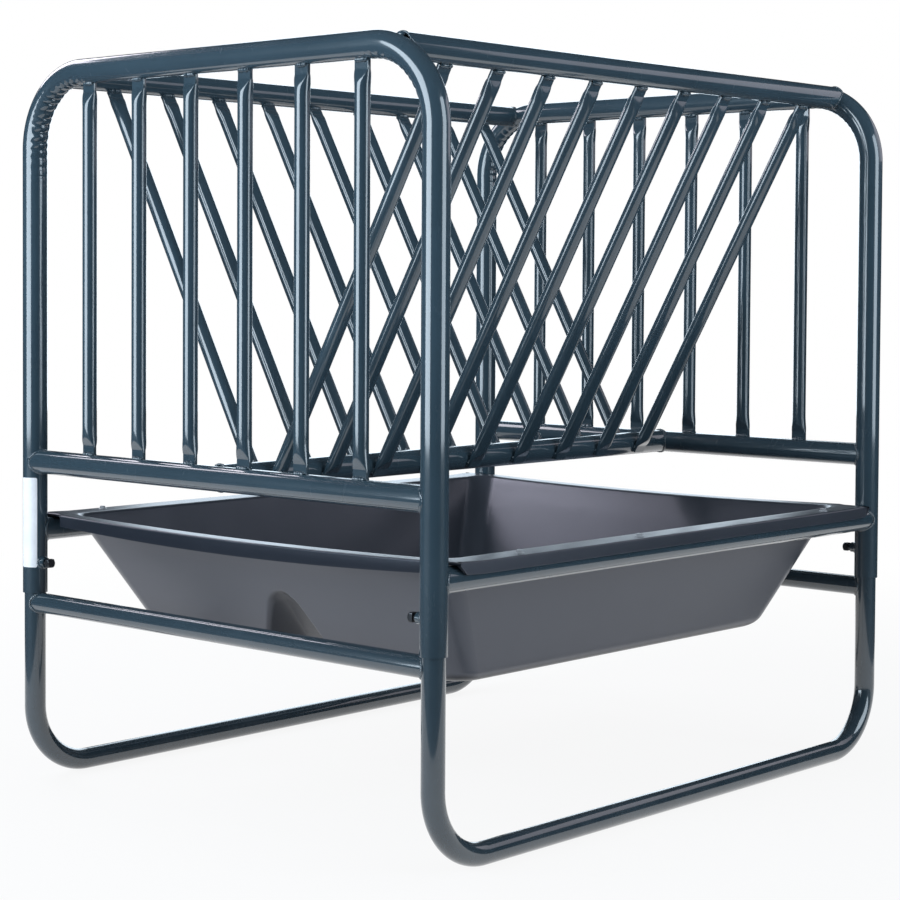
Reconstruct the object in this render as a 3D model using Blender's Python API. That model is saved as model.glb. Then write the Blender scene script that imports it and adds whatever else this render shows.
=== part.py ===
"""Hay and grain feeder for livestock.

A skid base carries a tube frame, whose posts slide over the legs of the base. Slanted bars in the
frame make a V-shaped hay rack, and a moulded grain tray hangs by its lips on two rails under it.
X runs across the end panels, Y along the feeder and Z up from the floor.
"""

import math

import bpy
import numpy as np

MM = 0.001

# Clearances
SEAT_GAP = 0.3 * MM  # between pieces that are welded together or rest on each other
COPE_GAP = 0.5 * MM  # between a coped tube's end and the round tube that it fits
BOLT_RUN_GAP = 0.02 * MM  # least gap between a set bolt's shank and its nut
SLEEVE_HOLE_GAP = 0.8 * MM  # round a set bolt where it passes the post's wall
LEG_RUN_GAP = 1.075 * MM  # between a leg of the skids and the post that slides over it
TRAY_SIDE_GAP = 16.8 * MM  # between the tray's side walls and the rails that carry its lips
NOTCH_SIDE_GAP = 5.775 * MM  # between the tray's notches and the posts, across the feeder
NOTCH_END_GAP = 9.775 * MM  # and along the feeder

# Frame of posts and rails
POST_SPAN_X = 980.0 * MM
POST_SPAN_Y = 1240.0 * MM
POST_RADIUS = 22.225 * MM
POST_WALL = 2.1 * MM
ARCH_TOP_Z = 1274.0 * MM
ARCH_BEND_RADIUS = 131.0 * MM
ARCH_BEND_STEPS = 8
RAIL_RADIUS = 21.2 * MM
RAIL_WALL = 2.1 * MM
TOP_RAIL_SPAN_X = 820.0 * MM
TOP_RAIL_RISE = 5.835 * MM  # of the top rails' axes over the centreline of the arches
PANEL_RAIL_Z = 579.0 * MM
TRAY_RAIL_Z = 455.0 * MM
CENTRE_TUBE_RADIUS = 22.225 * MM
CENTRE_TUBE_RISE = 1.0 * MM  # of the centre tube's axis over the panel rails' axes
COPE_LEAST_DEPTH = 8.0 * MM  # where a rail's edge would miss the tube that it is coped to
TUBE_SIDES = 16

# Pinched bars
BAR_RADIUS = 12.7 * MM
BAR_WALL = 1.65 * MM
BAR_SIDES = 10
PINCH_WIDTH = 30.5 * MM
PINCH_THICKNESS = 6.5 * MM
PINCH_FLAT_LENGTH = 15.0 * MM
PINCH_RAMP_LENGTH = 32.0 * MM
PINCH_SQUARENESS = 1.7  # how far the pinched outline is filled out towards a rectangle
PANEL_BAR_COUNT = 6
PANEL_BAR_MARGIN = 156.0 * MM  # from a post's axis to the nearest panel bar
RACK_BAR_COUNT = 9
RACK_BAR_MARGIN = 112.0 * MM  # from a post's axis to the nearest rack bar
RACK_FOOT_LAP = 3.0 * MM  # below the line where a foot touches the centre tube
RACK_HEAD_ASIDE = 5.656 * MM  # of a bar's axis from the top rail's axis, outward

# Skid base
SKID_WALL = 2.1 * MM
SKID_BEND_RADIUS = 116.0 * MM
SKID_BEND_STEPS = 5
LEG_TOP_Z = 560.0 * MM
CROSS_RAIL_RADIUS = 18.0 * MM
CROSS_RAIL_WALL = 2.0 * MM
CROSS_RAIL_Z = 323.3 * MM

# Set bolts and their weld nuts
SET_BOLT_RISE = 55.4 * MM  # of the set bolts over the posts' lower ends
SET_BOLT_RADIUS = 5.0 * MM
SET_BOLT_HEAD_WIDTH = 15.0 * MM
SET_BOLT_HEAD_LENGTH = 10.0 * MM
SET_BOLT_STANDOFF = 6.0 * MM  # from the head to the nut
NUT_RADIUS = 9.5 * MM
NUT_LENGTH = 10.0 * MM
BOLT_SIDES = 16

# Grain tray
TRAY_WALL = 4.5 * MM
TRAY_DEPTH = 224.0 * MM  # from the tops of the side lips to the underside of the floor
TRAY_SLOPE_X = 0.358  # run per rise of the side walls
TRAY_SLOPE_Y = 0.612  # run per rise of the end walls
TRAY_CORNER_RADIUS = 45.0 * MM
TRAY_FLOOR_FILLET = 33.0 * MM
FILLET_TURNS = (0.0, 30.0, 55.0, 75.0)  # degrees round the floor's fillet, where it is cut in facets
END_INSET = 20.0 * MM  # of the end rims from the plane of the posts
END_LIP_WIDTH = 45.0 * MM
LIP_CORNER_RADIUS = 6.0 * MM
LIP_EDGE_RADIUS = 3.0 * MM
SKIRT_DROP = 19.5 * MM
RIM_RISE = 1.5 * MM  # of the end rims' corners over the side lips
RIM_SAG = 7.0 * MM  # of the end rims between their corners
RIM_SKIRT_SAG = 6.0 * MM  # by which the end skirts hang deeper at mid length
SAG_INSIDE = 25.0 * MM  # inside the end walls, where the sag starts
SAG_OUTSIDE = 15.0 * MM  # outside the end walls, where the sag is full
SAG_START_DROP = 76.5 * MM  # under the lips, where the end walls start to sag
SAG_FULL_DROP = 20.0 * MM  # under the lips, where they sag in full
WALL_BEND_DROP = 31.5 * MM  # under the lips, where the facets of the walls change
SKIRT_SAG_DROP = 10.0 * MM  # under the lips, below which the skirts' own sag counts
SKIRT_SAG_RUN = 5.0 * MM  # beyond the notches, over which it comes in
NOTCH_SLANT = 18.0 * MM  # by which the end rims narrow from the notches to their edges
POCKET_X = 25.0 * MM
POCKET_DROP = 93.0 * MM  # from the tops of the side lips to the pocket's apex
POCKET_RADIUS = 95.0 * MM
POCKET_TILT = math.asin(1.0 / 3.0)  # of the pocket's back from the end wall
POCKET_LENGTH = 420.0 * MM
POCKET_SIDES = 40
CAP_INSET = 12.0 * MM  # of the blank's top face, which the cavity takes away
CUT_PAST = 40.0 * MM  # by which the cutters reach past what they cut

# Sizes that follow from the ones above
POST_X = POST_SPAN_X / 2
POST_Y = POST_SPAN_Y / 2
ARCH_RUN_X = POST_X - ARCH_BEND_RADIUS
ARCH_BEND_Z = ARCH_TOP_Z - ARCH_BEND_RADIUS
TOP_RAIL_X = TOP_RAIL_SPAN_X / 2
TOP_RAIL_Z = ARCH_BEND_Z + TOP_RAIL_RISE + math.sqrt(
    ARCH_BEND_RADIUS ** 2 - max(TOP_RAIL_X - ARCH_RUN_X, 0.0) ** 2)
CENTRE_TUBE_Z = PANEL_RAIL_Z + CENTRE_TUBE_RISE
PANEL_BAR_PITCH = (POST_SPAN_X - 2 * PANEL_BAR_MARGIN) / (PANEL_BAR_COUNT - 1)
RACK_BAR_PITCH = (POST_SPAN_Y - 2 * RACK_BAR_MARGIN) / (RACK_BAR_COUNT - 1)
RACK_FOOT_ASIDE = CENTRE_TUBE_RADIUS + SEAT_GAP + PINCH_THICKNESS / 2
RACK_RISE = TOP_RAIL_Z - CENTRE_TUBE_Z
RACK_SLOPE = math.atan2(TOP_RAIL_X, RACK_RISE) - math.asin(
    (RACK_FOOT_ASIDE - RACK_HEAD_ASIDE) / math.hypot(TOP_RAIL_X, RACK_RISE))
SKID_RADIUS = POST_RADIUS - POST_WALL - LEG_RUN_GAP
SKID_CENTRE_Z = SKID_RADIUS * math.cos(math.pi / TUBE_SIDES)
SLEEVE_END_Z = CROSS_RAIL_Z + CROSS_RAIL_RADIUS + SEAT_GAP
SET_BOLT_Z = SLEEVE_END_Z + SET_BOLT_RISE
LIP_UNDER_Z = TRAY_RAIL_Z + RAIL_RADIUS + SEAT_GAP
LIP_TOP_Z = LIP_UNDER_Z + TRAY_WALL
TRAY_BASE_Z = LIP_TOP_Z - TRAY_DEPTH
POCKET_TOP_Z = LIP_TOP_Z - POCKET_DROP
LIP_HALF_X = POST_X + RAIL_RADIUS + SEAT_GAP + TRAY_WALL
LIP_HALF_Y = POST_Y - END_INSET
TRAY_HALF_X = POST_X - RAIL_RADIUS - TRAY_SIDE_GAP  # outside, at the height of the tray rails
TRAY_HALF_Y = LIP_HALF_Y - END_LIP_WIDTH
NOTCH_X = POST_X - POST_RADIUS - NOTCH_SIDE_GAP
NOTCH_Y = POST_Y - POST_RADIUS - NOTCH_END_GAP

PAINT = ((0.048, 0.078, 0.105), 0.28, 0.0)
PLASTIC = ((0.085, 0.092, 0.108), 0.5, 0.0)
BOLT_STEEL = ((0.03, 0.035, 0.042), 0.4, 0.8)


def clear_scene():
    for thing in list(bpy.data.objects):
        bpy.data.objects.remove(thing, do_unlink=True)


def add_material(piece, finish):
    colour, roughness, metallic = finish
    material = bpy.data.materials.new(piece.name + "_finish")
    material.use_nodes = True
    shader = material.node_tree.nodes["Principled BSDF"]
    shader.inputs["Base Color"].default_value = (*colour, 1.0)
    shader.inputs["Roughness"].default_value = roughness
    shader.inputs["Metallic"].default_value = metallic
    material.diffuse_color = (*colour, 1.0)
    piece.data.materials.append(material)


def add_piece(name, points, faces, finish, place=(0, 0, 0), parent=None):
    mesh = bpy.data.meshes.new(name)
    mesh.from_pydata([tuple(point) for point in points], [], faces)
    mesh.validate()
    mesh.shade_smooth()
    mesh.set_sharp_from_angle(angle=math.radians(35))
    piece = bpy.data.objects.new(name, mesh)
    bpy.context.scene.collection.objects.link(piece)
    piece.location = place
    piece.parent = parent
    if finish:
        add_material(piece, finish)
    return piece


def hide_cutter(cutter):
    cutter.hide_render = True
    cutter.display_type = "WIRE"
    return cutter


def cut_with(piece, cutter):
    cut = piece.modifiers.new("cut by " + cutter.name, "BOOLEAN")
    cut.operation = "DIFFERENCE"
    cut.solver = "EXACT"
    cut.object = cutter


def circle(radius, sides, phase=0.0):
    turn = phase + np.arange(sides) * 2 * math.pi / sides
    return np.stack([radius * np.cos(turn), radius * np.sin(turn)], axis=1)


def pinched(half_width, half_thickness, sides):
    turn = np.arange(sides) * 2 * math.pi / sides
    filled = np.clip(PINCH_SQUARENESS * np.sin(turn), -1, 1)
    return np.stack([half_width * np.cos(turn), half_thickness * filled], axis=1)


def rings_to_faces(ring_count, sides, first=0, flip=False):
    faces = []
    for ring in range(ring_count - 1):
        for side in range(sides):
            after = (side + 1) % sides
            low = first + ring * sides
            quad = (low + side, low + after, low + sides + after, low + sides + side)
            faces.append(quad[::-1] if flip else quad)
    return faces


def shell_of_rings(outer, inner):
    """A tube with a real wall, made from matching rings outside and inside, open at both ends."""
    count = len(outer)
    sides = len(outer[0])
    points = np.concatenate(list(outer) + list(inner))
    start = count * sides
    faces = rings_to_faces(count, sides)
    faces += rings_to_faces(count, sides, first=start, flip=True)
    for side in range(sides):
        after = (side + 1) % sides
        faces.append((side, start + side, start + after, after))
        last = start - sides
        end = 2 * start - sides
        faces.append((last + side, last + after, end + after, end + side))
    return points, faces


def solid_of_rings(rings):
    """A solid loft through rings, closed by a flat face at each end."""
    sides = len(rings[0])
    points = np.concatenate(list(rings))
    faces = rings_to_faces(len(rings), sides)
    faces.append(tuple(range(sides))[::-1])
    last = (len(rings) - 1) * sides
    faces.append(tuple(range(last, last + sides)))
    return points, faces


def cope(radius, offset):
    """How far short of a round tube's centre a tube ends, at this offset from the centre."""
    return np.sqrt(np.maximum(radius ** 2 - offset ** 2, COPE_LEAST_DEPTH ** 2))


def add_coped_rail(name, along, place, reach, radius, wall):
    """A straight tube about its own middle. Reach gives its half length at each offset."""
    rings = []
    for ring_radius in (radius, radius - wall):
        across, up = circle(ring_radius, TUBE_SIDES).T
        half = reach(across, up)
        pair = []
        for end in (-1, 1):
            if along == "X":
                pair.append(np.stack([end * half, across, up], axis=1))
            else:
                pair.append(np.stack([-across, end * half, up], axis=1))
        rings.append(pair)
    points, faces = shell_of_rings(*rings)
    return add_piece(name, points, faces, PAINT, place)


def bent_path(end_z, run_z, span, bend_radius, bend_steps):
    """Stations of a U-shaped centreline in a plane, as (across, up, turn of the path) rows."""
    way = 1 if run_z > end_z else -1
    half = span / 2
    stations = [(-half, end_z, 0.0)]
    for step in range(bend_steps + 1):
        turn = step * math.pi / 2 / bend_steps
        across = -half + bend_radius * (1 - math.cos(turn))
        up = run_z - way * bend_radius * (1 - math.sin(turn))
        stations.append((across, up, turn))
    mirrored = [(-across, up, math.pi - turn) for across, up, turn in stations[::-1]]
    return [(across, up, way * turn) for across, up, turn in stations + mirrored], way


def bent_tube(path, way, radius, wall, phase):
    """Rings about the path: columns are across, out of the plane and up."""
    sets = []
    for ring_radius in (radius, radius - wall):
        profile = circle(ring_radius, TUBE_SIDES, phase)
        rings = []
        for across, up, turn in path:
            outward_across = -math.cos(turn)
            outward_up = math.sin(turn)
            out, side = profile.T
            rings.append(np.stack([
                across + outward_across * out,
                -way * side,
                up + outward_up * out,
            ], axis=1))
        sets.append(rings)
    return shell_of_rings(*sets)


def arch_offset(x, z):
    """Distance of a point in an arch's plane from the arch's centreline, at the top and the bends."""
    beyond = np.maximum(np.abs(x) - ARCH_RUN_X, 0.0)
    return np.abs(np.hypot(beyond, z - ARCH_BEND_Z) - ARCH_BEND_RADIUS)


def add_arches(hole_cutter):
    path, way = bent_path(SLEEVE_END_Z, ARCH_TOP_Z, POST_SPAN_X, ARCH_BEND_RADIUS, ARCH_BEND_STEPS)
    points, faces = bent_tube(path, way, POST_RADIUS, POST_WALL, 0.0)
    arches = {}
    for name, end in (("front", -1), ("rear", 1)):
        arch = add_piece(name + "_arch", points, faces, PAINT, (0, end * POST_Y, 0))
        cut_with(arch, hole_cutter)
        arches[name] = arch
    return arches


def add_skids():
    path, way = bent_path(LEG_TOP_Z, SKID_CENTRE_Z, POST_SPAN_Y, SKID_BEND_RADIUS, SKID_BEND_STEPS)
    points, faces = bent_tube(path, way, SKID_RADIUS, SKID_WALL, math.pi / TUBE_SIDES)
    turned = np.stack([-points[:, 1], points[:, 0], points[:, 2]], axis=1)
    for name, end in (("left", -1), ("right", 1)):
        add_piece(name + "_skid", turned, faces, PAINT, (end * POST_X, 0, 0))


def add_rails():
    post = POST_RADIUS + COPE_GAP
    leg = SKID_RADIUS + COPE_GAP
    rail = RAIL_RADIUS + COPE_GAP

    def between_posts_x(across, up):
        return POST_X - cope(post, across)

    def between_posts_y(across, up):
        return POST_Y - cope(post, across)

    def between_legs(across, up):
        return POST_X - cope(leg, across)

    def between_panel_rails(across, up):
        return POST_Y - cope(rail, up + CENTRE_TUBE_Z - PANEL_RAIL_Z)

    for name, end in (("front", -1), ("rear", 1)):
        panel_place = (0, end * POST_Y, PANEL_RAIL_Z)
        add_coped_rail(name + "_panel_rail", "X", panel_place, between_posts_x, RAIL_RADIUS, RAIL_WALL)
        cross_place = (0, end * POST_Y, CROSS_RAIL_Z)
        add_coped_rail(name + "_cross_rail", "X", cross_place, between_legs,
                       CROSS_RAIL_RADIUS, CROSS_RAIL_WALL)
    for name, end in (("left", -1), ("right", 1)):
        tray_place = (end * POST_X, 0, TRAY_RAIL_Z)
        add_coped_rail(name + "_tray_rail", "Y", tray_place, between_posts_y, RAIL_RADIUS, RAIL_WALL)
        top_x = end * TOP_RAIL_X

        def between_arches(across, up, top_x=top_x):
            return POST_Y - cope(post, arch_offset(top_x - across, TOP_RAIL_Z + up))

        add_coped_rail(name + "_top_rail", "Y", (top_x, 0, TOP_RAIL_Z), between_arches,
                       RAIL_RADIUS, RAIL_WALL)
    add_coped_rail("centre_tube", "Y", (0, 0, CENTRE_TUBE_Z), between_panel_rails,
                   CENTRE_TUBE_RADIUS, RAIL_WALL)


def pinched_bar(length):
    """A round bar that stands on its origin, pinched flat at both ends. Its flats are wide along X."""
    sets = []
    for inset in (0.0, BAR_WALL):
        flat = pinched(PINCH_WIDTH / 2 - inset, PINCH_THICKNESS / 2 - inset, BAR_SIDES)
        full = circle(BAR_RADIUS - inset, BAR_SIDES)
        ramp_end = PINCH_FLAT_LENGTH + PINCH_RAMP_LENGTH
        stations = [
            (0.0, flat),
            (PINCH_FLAT_LENGTH, flat),
            (ramp_end, full),
            (length - ramp_end, full),
            (length - PINCH_FLAT_LENGTH, flat),
            (length, flat),
        ]
        rings = []
        for height, profile in stations:
            rings.append(np.column_stack([profile, np.full(BAR_SIDES, height)]))
        sets.append(rings)
    return shell_of_rings(*sets)


def add_panel_bars():
    foot_z = PANEL_RAIL_Z + RAIL_RADIUS + SEAT_GAP
    head_z = ARCH_TOP_Z - POST_RADIUS - SEAT_GAP
    points, faces = pinched_bar(head_z - foot_z)
    for name, end in (("front", -1), ("rear", 1)):
        for index in range(PANEL_BAR_COUNT):
            x = (index - (PANEL_BAR_COUNT - 1) / 2) * PANEL_BAR_PITCH
            place = (x, end * POST_Y, foot_z)
            add_piece(f"{name}_panel_bar_{index + 1}", points, faces, PAINT, place)


def add_rack_bars():
    lean = np.array([math.sin(RACK_SLOPE), math.cos(RACK_SLOPE)])
    outward = np.array([math.cos(RACK_SLOPE), -math.sin(RACK_SLOPE)])
    tube_centre = np.array([0.0, CENTRE_TUBE_Z])
    foot = tube_centre + outward * RACK_FOOT_ASIDE - lean * RACK_FOOT_LAP
    to_rail = np.array([TOP_RAIL_X, TOP_RAIL_Z]) - foot
    nearest = max(RACK_HEAD_ASIDE - PINCH_THICKNESS / 2, 0.0)
    length = to_rail @ lean - math.sqrt((RAIL_RADIUS + SEAT_GAP) ** 2 - nearest ** 2)
    points, faces = pinched_bar(length)
    for name, end in (("left", -1), ("right", 1)):
        for index in range(RACK_BAR_COUNT):
            y = (index - (RACK_BAR_COUNT - 1) / 2) * RACK_BAR_PITCH
            place = (end * foot[0], y, foot[1])
            bar = add_piece(f"{name}_rack_bar_{index + 1}", points, faces, PAINT, place)
            bar.rotation_mode = "ZYX"
            bar.rotation_euler = (0, end * RACK_SLOPE, math.pi / 2)


def post_corners():
    for row, end_y in (("front", -1), ("rear", 1)):
        for column, end_x in (("left", -1), ("right", 1)):
            yield row, column, end_x, end_y


def spin_along_x(profile, sides, phase=0.0):
    """Rings about X from (x, radius) rows."""
    rings = []
    for x, radius in profile:
        across, up = circle(radius, sides, phase).T
        rings.append(np.stack([np.full(sides, x), across, up], axis=1))
    return rings


def add_bolt_hole_cutter():
    radius = (SET_BOLT_RADIUS + SLEEVE_HOLE_GAP) / math.cos(math.pi / BOLT_SIDES)
    length = POST_RADIUS * 2
    points = []
    faces = []
    for *_, end_x, end_y in post_corners():
        rings = spin_along_x([(-length, radius), (0.0, radius)], BOLT_SIDES)
        some_points, some_faces = solid_of_rings(rings)
        if end_x < 0:
            some_points = some_points + np.array([length, 0, 0])
        start = len(points)
        points.extend(some_points + np.array([end_x * POST_X, end_y * POST_Y, SET_BOLT_Z]))
        faces.extend(tuple(start + corner for corner in face) for face in some_faces)
    return hide_cutter(add_piece("bolt_hole_cutter", points, faces, None))


def add_set_bolts(arches):
    """A weld nut on each post's inner face, and a square-headed bolt whose tip meets the leg."""
    nut_face = POST_RADIUS + SEAT_GAP
    nut_bore = (SET_BOLT_RADIUS + BOLT_RUN_GAP) / math.cos(math.pi / BOLT_SIDES)
    tip = SKID_RADIUS + SEAT_GAP
    head_under = nut_face + NUT_LENGTH + SET_BOLT_STANDOFF
    head_top = head_under + SET_BOLT_HEAD_LENGTH
    for row, column, end_x, _ in post_corners():
        arch = arches[row]
        ends = (-end_x * nut_face, -end_x * (nut_face + NUT_LENGTH))
        outer = spin_along_x([(x, NUT_RADIUS) for x in sorted(ends)], BOLT_SIDES)
        inner = spin_along_x([(x, nut_bore) for x in sorted(ends)], BOLT_SIDES)
        points, faces = shell_of_rings(outer, inner)
        place = (end_x * POST_X, 0, SET_BOLT_Z)
        add_piece(f"{row}_{column}_weld_nut", points, faces, PAINT, place, arch)
        shank = [(tip, SET_BOLT_RADIUS), (head_under, SET_BOLT_RADIUS)]
        shank = sorted((-end_x * x, radius) for x, radius in shank)
        rings = spin_along_x(shank, BOLT_SIDES)
        head = sorted((-end_x * head_under, -end_x * head_top))
        square = []
        half = SET_BOLT_HEAD_WIDTH / 2
        for across, up in circle(1.0, BOLT_SIDES):
            reach = half / max(abs(across), abs(up))
            square.append((across * reach, up * reach))
        square = np.array(square)
        head_rings = [np.column_stack([np.full(BOLT_SIDES, x), square]) for x in head]
        ordered = head_rings + rings if end_x > 0 else rings + head_rings
        points, faces = solid_of_rings(ordered)
        add_piece(f"{row}_{column}_set_bolt", points, faces, BOLT_STEEL, place, arch)


def wall_half(z, half_at_rail, slope, inset):
    """Half width of the tray at this height: a sloped wall that a fillet turns into the floor."""
    lean = math.atan(slope)
    radius = TRAY_FLOOR_FILLET - inset
    centre_z = TRAY_BASE_Z + TRAY_FLOOR_FILLET
    centre = half_at_rail + slope * (centre_z - TRAY_RAIL_Z) - TRAY_FLOOR_FILLET / math.cos(lean)
    if z > centre_z - radius * math.sin(lean):
        return half_at_rail + slope * (z - TRAY_RAIL_Z) - inset / math.cos(lean)
    return centre + math.sqrt(max(radius ** 2 - (centre_z - z) ** 2, 0.0))


def plan_loop(half_x, half_y, corner, z):
    """A rounded rectangle, with more points along the ends, where the rims sag."""
    end_cuts = 7
    corner_steps = 4
    loop = []
    for quarter in range(4):
        turn = quarter * math.pi / 2
        sign_x = 1 if quarter in (0, 3) else -1
        sign_y = 1 if quarter in (0, 1) else -1
        centre = (sign_x * (half_x - corner), sign_y * (half_y - corner))
        for step in range(corner_steps + 1):
            angle = turn + step * math.pi / 2 / corner_steps
            loop.append((centre[0] + corner * math.cos(angle), centre[1] + corner * math.sin(angle)))
        if quarter in (0, 2):
            for cut in range(1, end_cuts + 1):
                share = 1 - 2 * cut / (end_cuts + 1)
                loop.append((sign_x * share * (half_x - corner), sign_y * half_y))
        else:
            loop.append((sign_x * half_x, 0.0))
    return np.column_stack([np.array(loop), np.full(len(loop), z)])


def smooth_step(value, low, high):
    share = np.clip((value - low) / (high - low), 0, 1)
    return share * share * (3 - 2 * share)


def settle_rims(points):
    """Lowers the end rims between their corners, as the unsupported ends hang on the real tray."""
    x, y, z = points.T
    at_end = smooth_step(np.abs(y), TRAY_HALF_Y - SAG_INSIDE, TRAY_HALF_Y + SAG_OUTSIDE)
    high = smooth_step(z, LIP_UNDER_Z - SAG_START_DROP, LIP_UNDER_Z - SAG_FULL_DROP)
    bow = 1 - np.clip(np.abs(x) / NOTCH_X, 0, 1) ** 2
    at_skirt = smooth_step(np.abs(y), NOTCH_Y, NOTCH_Y + SKIRT_SAG_RUN)
    deeper = np.where(z < LIP_UNDER_Z - SKIRT_SAG_DROP, at_skirt, 0)
    drop = RIM_SAG * bow - RIM_RISE + RIM_SKIRT_SAG * bow * deeper
    return np.column_stack([x, y, z - at_end * high * drop])


def tray_section(z, inset):
    half_x = wall_half(z, TRAY_HALF_X, TRAY_SLOPE_X, inset)
    half_y = wall_half(z, TRAY_HALF_Y, TRAY_SLOPE_Y, inset)
    return plan_loop(half_x, half_y, TRAY_CORNER_RADIUS - inset, z)


def floor_heights(inset):
    radius = TRAY_FLOOR_FILLET - inset
    arc = [radius * (1 - math.cos(math.radians(angle))) for angle in FILLET_TURNS]
    return [TRAY_BASE_Z + inset + rise for rise in arc]


def pocket_rings(radius):
    """A round bar that leans into the front end wall, as a cutter for the scooped pocket."""
    lean = math.atan(TRAY_SLOPE_Y)
    down = np.array([0.0, math.sin(lean), -math.cos(lean)])
    inward = np.array([0.0, math.cos(lean), math.sin(lean)])
    back = down * math.cos(POCKET_TILT) + inward * math.sin(POCKET_TILT)
    deep = inward * math.cos(POCKET_TILT) - down * math.sin(POCKET_TILT)
    apex_y = -(TRAY_HALF_Y + TRAY_SLOPE_Y * (POCKET_TOP_Z - TRAY_RAIL_Z))
    apex = np.array([POCKET_X, apex_y, POCKET_TOP_Z])
    centre = apex - deep * POCKET_RADIUS
    across = np.array([1.0, 0.0, 0.0])
    rings = []
    for end in (-POCKET_LENGTH / 2, POCKET_LENGTH / 2):
        profile = circle(radius, POCKET_SIDES)
        rings.append(centre + back * end + profile[:, :1] * deep + profile[:, 1:] * across)
    return rings


def add_tray():
    """One moulded tub: sloped walls, side lips over the rails, end rims that sag and a pocket."""
    skirt_z = LIP_UNDER_Z - SKIRT_DROP + TRAY_WALL
    inner_x = LIP_HALF_X - TRAY_WALL
    inner_y = LIP_HALF_Y - TRAY_WALL
    wall_heights = [LIP_UNDER_Z - SAG_START_DROP, LIP_UNDER_Z - WALL_BEND_DROP]
    rings = [tray_section(z, 0.0) for z in floor_heights(0.0) + wall_heights + [LIP_UNDER_Z]]
    rings.append(plan_loop(inner_x, inner_y, LIP_CORNER_RADIUS, LIP_UNDER_Z))
    rings.append(plan_loop(inner_x, inner_y, LIP_CORNER_RADIUS, skirt_z))
    rings.append(plan_loop(LIP_HALF_X, LIP_HALF_Y, LIP_CORNER_RADIUS, skirt_z))
    for angle in (0, 45, 90):
        turn = math.radians(angle)
        inward = LIP_EDGE_RADIUS * (1 - math.cos(turn))
        z = LIP_TOP_Z - LIP_EDGE_RADIUS * (1 - math.sin(turn))
        rings.append(plan_loop(LIP_HALF_X - inward, LIP_HALF_Y - inward, LIP_CORNER_RADIUS, z))
    cap_x = TRAY_HALF_X - CAP_INSET
    cap_y = TRAY_HALF_Y - CAP_INSET
    rings.append(plan_loop(cap_x, cap_y, TRAY_CORNER_RADIUS, LIP_TOP_Z))
    points, faces = solid_of_rings([settle_rims(ring) for ring in rings])
    tray = add_piece("tray", points, faces, PLASTIC)

    scoop_points, scoop_faces = solid_of_rings(pocket_rings(POCKET_RADIUS))
    scoop = hide_cutter(add_piece("tray_pocket_cutter", scoop_points, scoop_faces, None))
    core_points, core_faces = solid_of_rings(pocket_rings(POCKET_RADIUS + TRAY_WALL))
    core = hide_cutter(add_piece("tray_pocket_core", core_points, core_faces, None))

    hollow_heights = floor_heights(TRAY_WALL) + wall_heights + [LIP_TOP_Z, LIP_TOP_Z + CUT_PAST]
    inside = [tray_section(z, TRAY_WALL) for z in hollow_heights]
    points, faces = solid_of_rings([settle_rims(ring) for ring in inside])
    cavity = hide_cutter(add_piece("tray_cavity_cutter", points, faces, None))
    cut_with(cavity, core)

    slant = NOTCH_SLANT / (LIP_HALF_Y - NOTCH_Y)
    far_y = LIP_HALF_Y + CUT_PAST
    far_x = LIP_HALF_X + CUT_PAST
    outline = [
        (NOTCH_X, NOTCH_Y),
        (far_x, NOTCH_Y),
        (far_x, far_y),
        (NOTCH_X - slant * (far_y - NOTCH_Y), far_y),
    ]
    points = []
    faces = []
    for *_, end_x, end_y in post_corners():
        corners = [(end_x * x, end_y * y) for x, y in outline]
        if end_x * end_y < 0:
            corners = corners[::-1]
        low = [(x, y, LIP_UNDER_Z - SKIRT_DROP - CUT_PAST) for x, y in corners]
        high = [(x, y, LIP_TOP_Z + CUT_PAST) for x, y in corners]
        some_points, some_faces = solid_of_rings([low, high])
        start = len(points)
        points.extend(some_points)
        faces.extend(tuple(start + corner for corner in face) for face in some_faces)
    notches = hide_cutter(add_piece("tray_notch_cutter", points, faces, None))

    cut_with(tray, scoop)
    cut_with(tray, cavity)
    cut_with(tray, notches)


def main():
    clear_scene()
    hole_cutter = add_bolt_hole_cutter()
    arches = add_arches(hole_cutter)
    add_skids()
    add_rails()
    add_panel_bars()
    add_rack_bars()
    add_set_bolts(arches)
    add_tray()


main()
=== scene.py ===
import math
import bpy
import numpy as np
from mathutils import Matrix


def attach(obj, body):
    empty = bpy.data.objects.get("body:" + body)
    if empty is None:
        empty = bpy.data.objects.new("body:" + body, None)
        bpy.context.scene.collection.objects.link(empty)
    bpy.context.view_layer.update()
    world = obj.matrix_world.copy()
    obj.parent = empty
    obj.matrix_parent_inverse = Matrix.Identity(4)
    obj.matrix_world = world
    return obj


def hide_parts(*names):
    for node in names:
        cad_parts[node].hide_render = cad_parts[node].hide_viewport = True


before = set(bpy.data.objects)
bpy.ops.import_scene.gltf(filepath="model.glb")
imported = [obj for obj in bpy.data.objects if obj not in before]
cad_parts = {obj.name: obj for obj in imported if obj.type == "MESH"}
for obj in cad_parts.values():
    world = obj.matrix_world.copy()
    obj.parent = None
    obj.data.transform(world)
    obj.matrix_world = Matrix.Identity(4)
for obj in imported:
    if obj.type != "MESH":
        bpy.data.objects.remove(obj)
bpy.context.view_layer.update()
mm = 0.001  # the pieces and the camera are in millimetres, the studio is in metres
join = np.concatenate
print("feeder: frame loaded")

viewpoint = {
    "place": (2703, -3044, 912),
    "heading": 42.01,   # degrees from the front towards the right side
    "pitch": -2.0,
    "roll": 0.35,
    "lens": 87.16,
    "sensor": 36,
    "shiftY": -0.1047,
    "clip": (0.05, 100),
}


def addObject(name, data):
    thing = bpy.data.objects.new(name, data)
    bpy.context.scene.collection.objects.link(thing)
    return thing


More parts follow.
